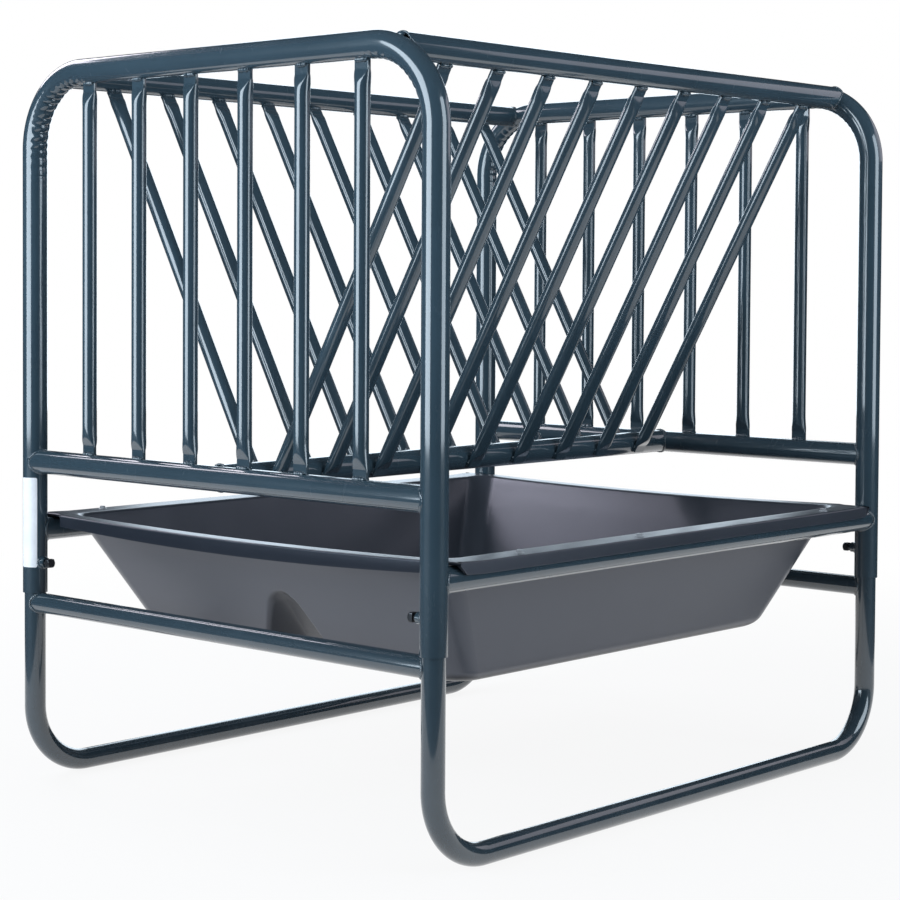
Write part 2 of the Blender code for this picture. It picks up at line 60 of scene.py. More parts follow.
def addCamera(v):
    # forward from heading and pitch, then right and up turned about it by the roll
    heading, pitch, roll = (math.radians(v[k]) for k in ("heading", "pitch", "roll"))
    level = math.cos(pitch)
    forward = np.array([-math.sin(heading) * level, math.cos(heading) * level, math.sin(pitch)])
    right = np.array([math.cos(heading), math.sin(heading), 0.0])
    up = np.cross(right, forward)
    turnedRight = right * math.cos(roll) + up * math.sin(roll)
    turnedUp = np.cross(turnedRight, forward)
    data = bpy.data.cameras.new("feederCamera")
    data.lens, data.sensor_width, data.shift_y = v["lens"], v["sensor"], v["shiftY"]
    data.clip_start, data.clip_end = v["clip"]
    camera = addObject("feederCamera", data)
    matrix = np.eye(4)
    matrix[:3, 0], matrix[:3, 1], matrix[:3, 2] = turnedRight, turnedUp, -forward
    matrix[:3, 3] = np.array(v["place"]) * mm
    camera.matrix_world = Matrix(matrix.tolist())
    bpy.context.scene.camera = camera


addCamera(viewpoint)

white = (1, 1, 1, 1)
studio = {
    "fill": 0.38,   # strength of the world as light
    "fillColour": (0.93, 0.96, 1, 1),
    "floorColour": (0.66, 0.67, 0.69, 1),
    "floorRoughness": 0.85,
    "floorShine": 0.1,
    "floorDrop": 0.0004,   # the floor lies this far under the skids
    "floorRings": (0.0, 1, 2, 4, 8, 16, 30),
    "floorWhite": 0.90,   # share of plain white that the camera sees in the floor near the feeder
    "whiteReach": (1.1, 3.4),   # between these radii that share grows to all of it
    "curtainColour": (0.03, 0.034, 0.04, 1),
    "curtainFoot": (1.80, 4.5),   # radii of the curtain's rings on the floor
    "curtainRadius": 9.0,   # of the dome over them
    "curtainRise": (0, 8, 15, 30, 45, 60, 75, 89.5),
    "curtainLift": 0.001,
    "curtainMiddle": (-0.10, 0.10),
    "sides": 96,
    # azimuth, distance, height of the middle, size, radiance, whether it lights matt faces
    "softboxes": [
        (-14, 5.0, 2.2, (3.7, 3.8), 7.0, True),
        (101, 5.0, 2.2, (2.8, 3.8), 4.8, True),
        (222, 6.0, 2.2, (3.0, 3.8), 2.4, False),
    ],
    "boxColour": (0.76, 0.89, 1.0),
    # name, place, turns in degrees, size, radiance, colour, the kind of ray that doesn't see it
    "panels": [
        ("canopy", (-3.5, -0.34, 2.6), (0, 0, 0), (3.1, 1.38), 5.4, (0.95, 0.91, 1.0), "camera"),
        ("topPanel", (0, 0, 4.2), (0, 0, 0), (4.0, 4.0), 0.75, (0.76, 0.89, 1.0), "glossy"),
        ("backPanel", (1.35, 2.0, 1.72), (68, 0, 148), (1.9, 1.0), 1.0, (0.95, 0.91, 1.0), "diffuse"),
    ],
}


def feed(tree, socket, value):
    # the value is a constant, an output socket, or a node whose first output is meant
    if isinstance(value, bpy.types.Node):
        value = value.outputs[0]
    if isinstance(value, bpy.types.NodeSocket):
        tree.links.new(value, socket)
    else:
        socket.default_value = value


def addNode(tree, kind, inputs=None, **settings):
    node = tree.nodes.new("ShaderNode" + kind)
    for key, value in settings.items():
        setattr(node, key, value)
    for key, value in (inputs or {}).items():
        feed(tree, node.inputs[key], value)
    return node


def addMath(tree, operation, *values, **settings):
    return addNode(tree, "Math", dict(enumerate(values)), operation=operation, **settings)


def addRange(tree, value, start, end, low=0.0, high=1.0, **settings):
    # start to end becomes low to high, and nothing goes past them
    inputs = {"Value": value, "From Min": start, "From Max": end, "To Min": low, "To Max": high}
    return addNode(tree, "MapRange", inputs, **settings)


def objectPlace(tree):
    return addNode(tree, "TexCoord").outputs["Object"]


def newMaterial(name):
    material = bpy.data.materials.new(name)
    material.use_nodes = True
    return material, material.node_tree, material.node_tree.nodes["Principled BSDF"]


def seenRays(tree):
    # 1 for camera, glossy and transmission rays, 0 for the rest
    path = addNode(tree, "LightPath").outputs
    seen = addMath(tree, "MAXIMUM", path["Is Camera Ray"], path["Is Glossy Ray"])
    return addMath(tree, "MAXIMUM", seen, path["Is Transmission Ray"])


def addLight(name, place, turns, size, radiance, colour):
    light = bpy.data.lights.new(name, "AREA")
    light.shape = "RECTANGLE"
    light.color = colour
    light.size, light.size_y = size
    light.energy = radiance * math.pi * size[0] * size[1]
    holder = addObject(name, light)
    holder.location, holder.rotation_euler = place, np.radians(turns)
    holder.visible_camera = False
    return holder


def addWorld(s):
    world = bpy.data.worlds.new("studioWorld")
    bpy.context.scene.world = world
    world.use_nodes = True
    tree = world.node_tree
    tree.nodes.clear()
    fill = addNode(tree, "Background", {"Color": s["fillColour"], "Strength": s["fill"]})
    plain = addNode(tree, "Background", {"Color": white})
    mix = addNode(tree, "MixShader", {0: seenRays(tree), 1: fill, 2: plain})
    addNode(tree, "OutputWorld", {0: mix})


def addLights(s):
    for number, (azimuth, distance, height, size, radiance, onMatt) in enumerate(s["softboxes"]):
        turn = math.radians(azimuth)
        place = (distance * math.sin(turn), -distance * math.cos(turn), height)
        box = addLight(f"softbox{number + 1}", place, (90, 0, azimuth), size, radiance, s["boxColour"])
        box.visible_diffuse = onMatt
    for *values, blindRay in s["panels"]:
        setattr(addLight(*values), "visible_" + blindRay, False)


def discGrid(radii, heights, sides, middle=(0, 0)):
    # rings round the middle, one for each radius and height, in metres
    around = circleTurns(sides)
    wide, high = np.array(radii)[:, None], np.array(heights)[:, None]
    return surface(middle[0] + wide * np.cos(around), middle[1] + wide * np.sin(around), high)


def addSheet(name, grid, materialName, colour, roughness):
    sheet = sheetObject(name, [(grid / mm, "open")])
    material, tree, shader = newMaterial(materialName)
    shader.inputs["Base Color"].default_value = colour
    shader.inputs["Roughness"].default_value = roughness
    sheet.data.materials.append(material)
    return sheet, tree, shader


def addFloor(s):
    # a pale round floor that turns plain white further out and keeps the feeder's shadow
    grid = discGrid(s["floorRings"], [-s["floorDrop"]] * len(s["floorRings"]), s["sides"])
    floor, tree, shader = addSheet("studioFloor", grid, "paleFloor", s["floorColour"], s["floorRoughness"])
    shader.inputs["Specular IOR Level"].default_value = s["floorShine"]
    plain = addNode(tree, "Emission", {"Color": white})
    away = addNode(tree, "VectorMath", {0: objectPlace(tree)}, operation="LENGTH").outputs["Value"]
    spread = addRange(tree, away, *s["whiteReach"], s["floorWhite"], interpolation_type="SMOOTHSTEP")
    share = addMath(tree, "MULTIPLY", spread, seenRays(tree))
    mix = addNode(tree, "MixShader", {0: share, 1: shader, 2: plain})
    feed(tree, tree.nodes["Material Output"].inputs[0], mix)
    return floor


def addCurtain(s):
    # a dark curtain round and over the stand, seen only in reflections
    rise = np.radians(s["curtainRise"])
    radii = join([s["curtainFoot"], s["curtainRadius"] * np.cos(rise)])
    heights = s["curtainLift"] + join([[0, 0], s["curtainRadius"] * np.sin(rise)])
    grid = discGrid(radii, heights, s["sides"], s["curtainMiddle"])
    curtain = addSheet("studioCurtain", grid, "darkCurtain", s["curtainColour"], 1.0)[0]
    for ray in ("camera", "diffuse", "transmission", "volume_scatter", "shadow"):
        setattr(curtain, "visible_" + ray, False)
    return curtain


def surface(x, y, z):
    return np.stack(np.broadcast_arrays(x, y, z), axis=-1)


def sheetObject(name, sheets, sharp=35):
    # Each sheet is (grid of points, kind). Its columns go round. Its rows do too in a "ring", end in flat
    # faces in a "solid" and stay "open" otherwise. A cell of the grid is a face of four corners. The sign of
    # the enclosed volume says which way round they go.
    points, corners, starts = [], [], []
    pointCount = cornerCount = 0
    for grid, kind in sheets:
        rows, columns = grid.shape[:2]
        flat = np.asarray(grid, float).reshape(-1, 3)
        index = np.arange(rows * columns).reshape(rows, columns)
        caps = [index[0][::-1], index[-1]] if kind == "solid" else []
        if kind == "ring":
            index = np.vstack([index, index[:1]])
        index = np.hstack([index, index[:, :1]])
        quads = [index[:-1, :-1], index[:-1, 1:], index[1:, 1:], index[1:, :-1]]
        quads = np.stack(quads, axis=-1).reshape(-1, 4)
        centred = flat - flat.mean(axis=0)
        a, b, c, d = (centred[quads[:, k]] for k in range(4))
        volume = np.sum(a * np.cross(b, c)) + np.sum(a * np.cross(c, d))
        for cap in caps:
            rim = centred[cap]
            volume += np.sum(rim[0] * np.cross(rim[1:-1], rim[2:]))
        if volume < 0:
            quads = quads[:, ::-1]
            caps = [cap[::-1] for cap in caps]
        points.append(flat)
        corners.append(quads.ravel() + pointCount)
        starts.append(cornerCount + 4 * np.arange(len(quads)))
        cornerCount += 4 * len(quads)
        for cap in caps:
            corners.append(cap + pointCount)
            starts.append(np.array([cornerCount]))
            cornerCount += len(cap)
        pointCount += len(flat)
    mesh = bpy.data.meshes.new(name)
    mesh.vertices.add(pointCount)
    mesh.vertices.foreach_set("co", (join(points) * mm).astype(np.float32).ravel())
    mesh.loops.add(cornerCount)
    mesh.loops.foreach_set("vertex_index", join(corners).astype(np.int32))
    mesh.polygons.add(sum(len(s) for s in starts))
    mesh.polygons.foreach_set("loop_start", join(starts).astype(np.int32))
    mesh.update(calc_edges=True)
    mesh.validate()
    mesh.shade_smooth()
    mesh.set_sharp_from_angle(angle=math.radians(sharp))
    return addObject(name, mesh)


def dress(name, sheets, finish, node=None, body="upper_frame", sharp=35):
    # a piece of the feeder: what it is made of, the CAD node that it stands for, and what it moves with
    material, slotName = finish
    piece = sheetObject(name, sheets, sharp)
    piece.data.materials.append(material)
    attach(piece, body)
    if node:
        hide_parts(node)
    return piece


def circleTurns(sides):
    return np.arange(sides) * 2 * math.pi / sides


def smoothStep(value, low, high):
    share = np.clip((value - low) / (high - low), 0, 1)
    return share * share * (3 - 2 * share)


bpy.context.scene.view_settings.view_transform = "Standard"
addWorld(studio)
addLights(studio)
addFloor(studio)
addCurtain(studio)
print("feeder: camera, light and floor set")


def newGroup(name, values, result, resultKind="Float"):
    # A value is a number, a vector of three or a colour of four. Gives the group, the sockets that its values
    # come from, and the socket that takes its result.
    group = bpy.data.node_groups.new(name, "ShaderNodeTree")
    for label, value in values.items():
        kind = {1: "Float", 3: "Vector", 4: "Color"}[np.size(value)]
        socket = group.interface.new_socket(label, in_out="INPUT", socket_type="NodeSocket" + kind)
        socket.default_value = value
    group.interface.new_socket(result, in_out="OUTPUT", socket_type="NodeSocket" + resultKind)
    return group, group.nodes.new("NodeGroupInput").outputs, group.nodes.new("NodeGroupOutput").inputs[0]


def addGroup(tree, group, inputs):
    return addNode(tree, "Group", inputs, node_tree=group)


def addNoise(tree, place, scale, detail, roughness=0.5, distortion=0.0):
    return addNode(tree, "TexNoise", {
        "Vector": place, "Scale": scale, "Detail": detail, "Roughness": roughness, "Distortion": distortion})


def addMix(tree, share, first, second):
    return addNode(tree, "Mix", {0: share, 2: first, 3: second}, data_type="FLOAT")


def addColourMix(tree, share, first, second):
    return addNode(tree, "Mix", {0: share, 6: first, 7: second}, data_type="RGBA").outputs[2]


def partsOf(tree, vector):
    return addNode(tree, "SeparateXYZ", {0: vector}).outputs


def facingParts(tree):
    return partsOf(tree, addNode(tree, "NewGeometry").outputs["Normal"])


def makeOrangePeel():
    # fine waves of a sprayed coat, as a height
    group, entry, leave = newGroup("orangePeel", {"Grain": 420.0, "Waves": 70.0, "Wave Share": 0.4}, "Height")
    place = objectPlace(group)
    fine = addNoise(group, place, entry["Grain"], 3.0, 0.55)
    broad = addNoise(group, place, entry["Waves"], 2.0)
    feed(group, leave, addMix(group, entry["Wave Share"], fine, broad))
    return group


def makeSettledDust():
    # how much dust lies on a place: more on faces that look up and near the ground, broken up by noise
    group, entry, leave = newGroup("settledDust", {"Amount": 0.25}, "Mask")
    place = objectPlace(group)
    upward = addRange(group, facingParts(group)["Z"], 0.15, 1.0, 0.0, 0.6)
    low = addRange(group, partsOf(group, place)["Z"], 0.0, 0.35, 1.0, 0.0)
    patch = addRange(group, addNoise(group, place, 9.0, 8.0, 0.65), 0.38, 0.72)
    both = addMath(group, "ADD", upward, low, use_clamp=True)
    broken = addMath(group, "MULTIPLY", both, patch)
    feed(group, leave, addMath(group, "MULTIPLY", broken, entry["Amount"], use_clamp=True))
    return group


def makeToneAndGroundShade():
    # slow changes of colour over a surface, between a darker and a lighter tone, and painted shade that
    # darkens it near the ground
    values = {"Dark": (0, 0, 0, 1), "Light": white, "Scale": 6.0, "Speckle": 0.1, "Painted Ground Shade": 1.0}
    group, entry, leave = newGroup("toneAndGroundShade", values, "Color", "Color")
    place = objectPlace(group)
    cloud = addNoise(group, place, entry["Scale"], 5.0, 0.6)
    speck = addNoise(group, place, 900.0, 1.0)
    even = addRange(group, addMix(group, entry["Speckle"], cloud, speck), 0.3, 0.7)
    mix = addColourMix(group, even, entry["Dark"], entry["Light"])
    # painted shade: the colour is scaled down towards the ground
    rise = addRange(group, partsOf(group, place)["Z"], 0.15, 0.85, entry["Painted Ground Shade"])
    deeper = addNode(group, "VectorMath", {0: mix, "Scale": rise}, operation="SCALE")
    feed(group, leave, deeper)
    return group


def makeScuffs():
    # thin scratches and rubbed patches, as a mask
    group, entry, leave = newGroup("scuffs", {"Stretch": (40.0, 6.0, 90.0), "Threshold": 0.62}, "Mask")
    vectors = {0: objectPlace(group), 1: entry["Stretch"]}
    stretch = addNode(group, "VectorMath", vectors, operation="MULTIPLY")
    noise = addNoise(group, stretch, 3.0, 6.0, 0.7, 0.4)
    feed(group, leave, addRange(group, noise, entry["Threshold"], 0.85))
    return group


def makePaintedShadeMask():
    # painted shade as a mask: 1 in a hollow and on faces that look steeply down, 0.8 on the upright ones that
    # look along Y
    values = {"From Down": -0.6, "Full Down": -0.8, "Hollow": 0.0}
    group, entry, leave = newGroup("paintedShadeMask", values, "Mask")
    facing = facingParts(group)
    down = addRange(group, facing["Z"], entry["From Down"], entry["Full Down"])
    upright = addRange(group, addMath(group, "ABSOLUTE", facing["Z"]), 0.1, 0.3, 0.8, 0.0)
    endwise = addRange(group, addMath(group, "ABSOLUTE", facing["Y"]), 0.7, 0.95)
    most = addMath(group, "MAXIMUM", down, addMath(group, "MULTIPLY", upright, endwise))
    feed(group, leave, addMath(group, "MAXIMUM", most, entry["Hollow"]))
    return group


orangePeel = makeOrangePeel()
settledDust = makeSettledDust()
toneAndGroundShade = makeToneAndGroundShade()
scuffs = makeScuffs()
paintedShadeMask = makePaintedShadeMask()
peelDepth = 0.0006   # metres
dustRoughness = 0.25   # what full dust adds to a finish's roughness


def paintedShadeSockets(tree, colour, s):
    # painted shade: darker and duller in the hollow, on faces that look down and on upright faces that look
    # along Y
    hollow = addNode(tree, "Attribute", attribute_name="hollow").outputs["Fac"]
    fromDown, fullDown = s["down"]
    paintedShare = addGroup(tree, paintedShadeMask, {"From Down": fromDown, "Full Down": fullDown, "Hollow": hollow})
    return {"Base Color": addColourMix(tree, paintedShare, colour, s["colour"]),
            "Specular IOR Level": addRange(tree, paintedShare, 0.0, 1.0, *s["shine"])}


def makeFinish(name, f, slotName):
    material, tree, shader = newMaterial(name)
    tone, dust = addGroup(tree, toneAndGroundShade, f["tone"]), addGroup(tree, settledDust, f["dust"])
    scuff, peel = addGroup(tree, scuffs, f["scuffs"]), addGroup(tree, orangePeel, f["peel"])
    colour = addColourMix(tree, dust, tone, f["dustColour"])
    rough = addRange(tree, scuff, 0.0, 1.0, *f["roughness"])
    waves = {"Height": peel, "Strength": f["bump"], "Distance": peelDepth}
    sockets = {
        "Base Color": colour,
        "Roughness": addMath(tree, "MULTIPLY_ADD", dust, dustRoughness, rough),
        "Normal": addNode(tree, "Bump", waves),
    }
    sockets.update(f["fixed"])
    # the tray's painted shade
    if "shade" in f:
        sockets.update(paintedShadeSockets(tree, colour, f["shade"]))
    for socket, value in sockets.items():
        feed(tree, shader.inputs[socket], value)
    return material, slotName


# "roughness" is of a clean and of a scuffed place, and "fixed" holds the shader's own constants
powderCoatLook = {
    # its colour is darkened towards the ground: painted shade
    "tone": {"Dark": (0.027, 0.049, 0.066, 1), "Light": (0.035, 0.062, 0.083, 1), "Scale": 5.0,
             "Speckle": 0.12, "Painted Ground Shade": 0.62},
    "dust": {"Amount": 0.10},
    "dustColour": (0.20, 0.21, 0.22, 1),
    "scuffs": {"Stretch": (14.0, 14.0, 4.0), "Threshold": 0.6},
    "roughness": (0.26, 0.42),
    "peel": {"Grain": 420.0, "Waves": 70.0, "Wave Share": 0.45},
    "bump": 0.10,
    "fixed": {"IOR": 1.45, "Specular IOR Level": 0.25, "Coat Weight": 1.0, "Coat Roughness": 0.07,
              "Coat IOR": 1.7},
}
weldLook = dict(powderCoatLook, bump=0.5, peel={"Grain": 260.0, "Waves": 70.0, "Wave Share": 0.45},
                roughness=(0.2, 0.34))
trayLook = {
    "tone": {"Dark": (0.026, 0.030, 0.038, 1), "Light": (0.036, 0.040, 0.050, 1), "Scale": 3.2,
             "Speckle": 0.25},
    "dust": {"Amount": 0.14},
    "dustColour": (0.14, 0.135, 0.145, 1),
    "scuffs": {"Stretch": (8.0, 30.0, 30.0), "Threshold": 0.55},
    "roughness": (0.285, 0.40),
    "peel": {"Grain": 900.0, "Waves": 30.0, "Wave Share": 0.35},
    "bump": 0.22,
    # painted shade for the scoop's hollow, the undersides and the upright end faces, with less shine there
    "shade": {"down": (-0.60, -0.76), "colour": (0.007, 0.010, 0.016, 1), "shine": (0.5, 0.12)},
    "fixed": {"IOR": 1.66, "Specular Tint": (0.84, 0.87, 1.0, 1)},
}
boltLook = {
    "tone": {"Dark": (0.035, 0.038, 0.044, 1), "Light": (0.065, 0.067, 0.072, 1), "Scale": 60.0,
             "Speckle": 0.3},
    "dust": {"Amount": 0.1},
    "dustColour": (0.20, 0.19, 0.18, 1),
    "scuffs": {"Stretch": (60.0, 60.0, 60.0), "Threshold": 0.5},
    "roughness": (0.3, 0.5),
    "peel": {"Grain": 900.0, "Waves": 200.0, "Wave Share": 0.5},
    "bump": 0.3,
    "fixed": {"Metallic": 0.85},
}
zincLook = dict(
    boltLook, roughness=(0.34, 0.5), fixed={"Metallic": 0.35},
    tone={"Dark": (0.30, 0.31, 0.33, 1), "Light": (0.42, 0.43, 0.45, 1), "Scale": 60.0, "Speckle": 0.3})
labelLook = {
    "tone": {"Dark": (0.70, 0.70, 0.72, 1), "Light": (0.80, 0.80, 0.82, 1), "Scale": 30.0, "Speckle": 0.15},
    "dust": {"Amount": 0.2},
    "dustColour": (0.42, 0.41, 0.40, 1),
    "scuffs": {"Stretch": (60.0, 60.0, 20.0), "Threshold": 0.6},
    "roughness": (0.3, 0.5),
    "peel": {"Grain": 1200.0, "Waves": 160.0, "Wave Share": 0.5},
    "bump": 0.05,
    "fixed": {"IOR": 1.5},
}
powderCoat = makeFinish("powderCoat", powderCoatLook, "powder_coat")
weldCoat = makeFinish("weldCoat", weldLook, "powder_coat")
trayPlastic = makeFinish("trayPlastic", trayLook, "tray_plastic")
boltSteel = makeFinish("boltSteel", boltLook, "bolt_steel")
screwZinc = makeFinish("screwZinc", zincLook, "bolt_steel")
labelFilm = makeFinish("labelFilm", labelLook, "powder_coat")
print("feeder: finishes mixed")


foldSizes = {
    "reach": 75,   # how far before a bend the folds begin
    "after": 0.5,   # how far they go on after it, as a share of that
    "within": (12, 8),   # how far inside the bend they are full
    "fine": 0.6, "legRings": 12, "runRings": 10,   # how far the close rings go on, and the others' numbers
    "sway": (0.09, 0.11), "uneven": (0.25, 0.071),   # of their pitch and of their depth: amount, waves
    "valley": (0.75, 0.55),   # its shape, and the share of a fold that lies below the tube
    "inner": (0.5, 0.9),   # how far to the inside of the bend they begin and are full
    "dents": (0.08, 0.40, 0.13), "flank": (0.3, 0.6, 0.9),   # small dents beside the folds, and where
    "flatShape": 1.6,
}


def uTube(u, folds):
    # A circle carried along half a U, from a leg's end over a quarter turn to the middle of the run, and
    # mirrored. At each bend the inside gets folds, whose crests stand out and whose valleys are narrow, and
    # the outside is drawn a little flat:
    # radius = r - flatten outer^1.6 sin(2 turn) + foldDepth swell (|sin(pi along/pitch)|^0.75 - 0.55) + dents
    f = foldSizes
    leg = abs(u["runZ"] - u["endZ"]) - u["bendRadius"]
    bend = u["bendRadius"] * math.pi / 2
    runHalf = u["halfSpan"] - u["bendRadius"]
    way = 1 if u["runZ"] > u["endZ"] else -1
    start, end = leg - f["reach"], leg + bend + f["reach"] * f["fine"]
    distance = join([
        np.linspace(0, start, f["legRings"], endpoint=False),
        np.arange(start, end, u["step"]),
        np.linspace(end, leg + bend + runHalf, f["runRings"]),
    ])
    turn = np.clip((distance - leg) / u["bendRadius"], 0, math.pi / 2)
    across = u["bendRadius"] * (1 - np.cos(turn)) + np.maximum(distance - leg - bend, 0) - u["halfSpan"]
    up = u["endZ"] + way * (np.minimum(distance, leg) + u["bendRadius"] * np.sin(turn))
    theta = circleTurns(u["sides"])
    inner = np.clip(-np.cos(theta), 0, 1)
    outer = np.clip(np.cos(theta), 0, 1)
    along = (distance - leg)[:, None]
    before = smoothStep(along, -f["reach"], f["within"][0])
    swell = before * (1 - smoothStep(along, bend - f["within"][1], bend + f["reach"] * f["after"]))
    flank = smoothStep(inner, 0.0, f["flank"][0]) * (1 - smoothStep(inner, *f["flank"][1:]))
    dentDepth, fast, slow = f["dents"]
    walls = []
    for side, amount in enumerate(folds):
        sway = f["sway"][0] * np.sin(along * f["sway"][1] + 2 * side)
        main = np.abs(np.sin(math.pi * (along / u["foldPitch"] + sway))) ** f["valley"][0]
        uneven = 1 - f["uneven"][0] + f["uneven"][0] * np.sin(along * f["uneven"][1] + side)
        dents = np.sin(along * fast + 2 * np.sin(theta * 2)) * np.sin(along * slow + 4 * theta + side)
        radius = u["radius"] - amount * u["flatten"] * outer ** f["flatShape"] * np.sin(turn * 2)[:, None]
        ridges = (main - f["valley"][1]) * uneven
        radius = radius + amount * u["foldDepth"] * swell * ridges * smoothStep(inner, *f["inner"])
        walls.append(radius + amount * dentDepth * swell * dents * flank)
    rows = []
    for side, mirror in ((0, 1), (1, -1)):
        for radius in (walls[side], np.full_like(walls[side], u["radius"] - u["wall"])):
            outward = np.stack([-np.cos(turn) * mirror, way * np.sin(turn)], axis=1)
            centre = np.stack([across * mirror, up], axis=1)
            x = centre[:, 0, None] + outward[:, 0, None] * radius * np.cos(theta)
            z = centre[:, 1, None] + outward[:, 1, None] * radius * np.cos(theta)
            rows.append(surface(x, radius * np.sin(theta), z))
    outerRows = join([rows[0], rows[2][::-1][1:]])
    innerRows = join([rows[1], rows[3][::-1][1:]])
    return join([outerRows, innerRows[::-1]])


archSizes = {
    "halfSpan": 490, "endZ": 341.6, "runZ": 1274, "bendRadius": 131, "radius": 22.0, "wall": 2.0,
    "sides": 64, "step": 1.3, "foldPitch": 16.5, "foldDepth": 4.0, "flatten": 2.2,
}
skidSizes = {
    "halfSpan": 620, "endZ": 560, "runZ": 19.05, "bendRadius": 116, "radius": 18.95, "wall": 2.0,
    "sides": 56, "step": 1.6, "foldPitch": 13.0, "foldDepth": 1.4, "flatten": 1.2,
}
# how strong the folds are in the two bends of the arches and the skids
bendFolds = {"front": (1.0, 0.5), "rear": (0.45, 0.12), "skid": (0.08, 0.08)}
postX, postY = 490, 620
frontRear, leftRight = (("front", -1), ("rear", 1)), (("left", -1), ("right", 1))

for row, end in frontRear:
    grid = uTube(archSizes, bendFolds[row]) + np.array([0, end * postY, 0])
    dress(row + "_arch_tube", [(grid, "ring")], powderCoat, row + "_arch")
for column, end in leftRight:
    grid = uTube(skidSizes, bendFolds["skid"])
    grid = surface(end * postX - grid[..., 1], grid[..., 0], grid[..., 2])
    dress(column + "_skid_tube", [(grid, "ring")], powderCoat, column + "_skid", "skid_base")
print("feeder: arches and skids bent")

railSizes = {
    "radius": 21.2, "wall": 2.1, "panelZ": 579, "trayZ": 455, "topZ": 1269.5, "topX": 410,
    "centreRadius": 22.225, "centreZ": 580, "crossRadius": 18, "crossWall": 2, "crossZ": 323.3,
    "rings": 14, "sides": 64, "copeGap": 0.15, "leastCope": 8,
}
rs = railSizes


def cope(radius, offset):
    # how far short of a round tube's centre a tube ends, at this offset from that centre
    return np.sqrt(np.maximum((radius + rs["copeGap"]) ** 2 - offset ** 2, rs["leastCope"] ** 2))


def archOffset(x, z):
    # distance from an arch's centreline, in its plane, at the top and the bends
    beyond = np.maximum(np.abs(x) - (archSizes["halfSpan"] - archSizes["bendRadius"]), 0)
    rise = z - (archSizes["runZ"] - archSizes["bendRadius"])
    return np.abs(np.hypot(beyond, rise) - archSizes["bendRadius"])


def railRing(along, place, radius, reach, end):
    # one end of a coped rail: the circle pulled in by the reach at each of its points
    theta = circleTurns(rs["sides"])
    across, up = radius * np.cos(theta), radius * np.sin(theta)
    half = reach(across, up) * end
    ring = surface(half, across, up) if along == "X" else surface(-across, half, up)
    return ring + np.array(place)


def railGrid(along, place, radius, wall, reach):
    # rings between the two ends outside, and back again inside
    shares = np.linspace(0, 1, rs["rings"])[:, None, None]
    outer, inner = (
        railRing(along, place, r, reach, -1) * (1 - shares) + railRing(along, place, r, reach, 1) * shares
        for r in (radius, radius - wall)
    )
    return join([outer, inner[::-1]])


weldSizes = {
    "step": 0.9, "pitch": 3.6, "sides": 10,
    "height": 0.8,   # of a rope over its seam, as a share of its half width
    "body": 0.74, "ripple": 0.34, "rippleShape": 0.8, "wander": (0.03, 0.09), "wanderTurns": (2, 3, 5, 8),
    "endShape": 5, "leastEnd": 0.02,
    "outerY": 642.0,   # no weld reaches past the posts' outer faces
    "lean": 0.2, "rail": 2.8, "topRail": 1.9,
    "lumpPlace": (409, 611.5, 1286.2), "lumpHalves": (8.5, 8, 5.6), "lumpPole": 0.08, "lumpRings": 15,
    "lumpSides": 24, "lumpRipple": 0.06,
}
ws = weldSizes


def weldRope(path, outward, size, closed, seed, pitch=ws["pitch"]):
    # A small circle carried along a seam. It swells once for every ripple and thins out at open ends:
    # half width = size (0.74 + 0.34 |sin phase|^0.8 + wander)
    path, outward = np.asarray(path, float), np.asarray(outward, float)
    if closed:
        path = np.vstack([path, path[:1]])
        outward = np.vstack([outward, outward[:1]])
    run = join([[0], np.cumsum(np.linalg.norm(np.diff(path, axis=0), axis=1))])
    total = run[-1]
    count = max(8, int(total / ws["step"]))
    where = np.linspace(0, total, count, endpoint=not closed)
    points, normal = (
        np.stack([np.interp(where, run, line[:, k]) for k in range(3)], axis=1) for line in (path, outward))
    normal /= np.linalg.norm(normal, axis=1, keepdims=True)
    if closed:
        tangent = np.roll(points, -1, axis=0) - np.roll(points, 1, axis=0)
    else:
        tangent = np.gradient(points, axis=0)
    tangent /= np.linalg.norm(tangent, axis=1, keepdims=True)
    across = np.cross(tangent, normal)
    chance = np.random.default_rng(seed)
    ripples = max(2, round(total / pitch))
    phase = where / total * ripples * math.pi + chance.uniform(0, 3)
    wander = sum(
        chance.uniform(*ws["wander"]) * np.sin(where / total * 2 * math.pi * k + chance.uniform(0, 6))
        for k in ws["wanderTurns"])
    swell = size * (ws["body"] + ws["ripple"] * np.abs(np.sin(phase)) ** ws["rippleShape"] + wander)
    if not closed:
        swell = swell * np.clip(1 - np.abs(2 * where / total - 1) ** ws["endShape"], ws["leastEnd"], 1) ** 0.5
    theta = circleTurns(ws["sides"])[:, None]
    section = normal[:, None, :] * np.cos(theta) * ws["height"] + across[:, None, :] * np.sin(theta)
    rope = points[:, None, :] + swell[:, None, None] * section
    rope[..., 1] = np.clip(rope[..., 1], -ws["outerY"], ws["outerY"])
    return rope, "ring" if closed else "solid"


def ringWeld(ring, place, size, seed):
    # a rope round the end of a rail, leaning out from its middle
    outward = ring - ring.mean(axis=0)
    outward /= np.linalg.norm(outward, axis=1, keepdims=True)
    return weldRope(ring + outward * ws["lean"], outward, size, True, seed)


def toTube(half, radius):
    # the reach of a rail that meets an upright tube
    return lambda across, up: half - cope(radius, across)


def toPanelRail(across, up):
    return postY - cope(rs["radius"], up + rs["centreZ"] - rs["panelZ"])


def toArch(topX):
    return lambda across, up: postY - cope(archSizes["radius"], archOffset(topX - across, rs["topZ"] + up))


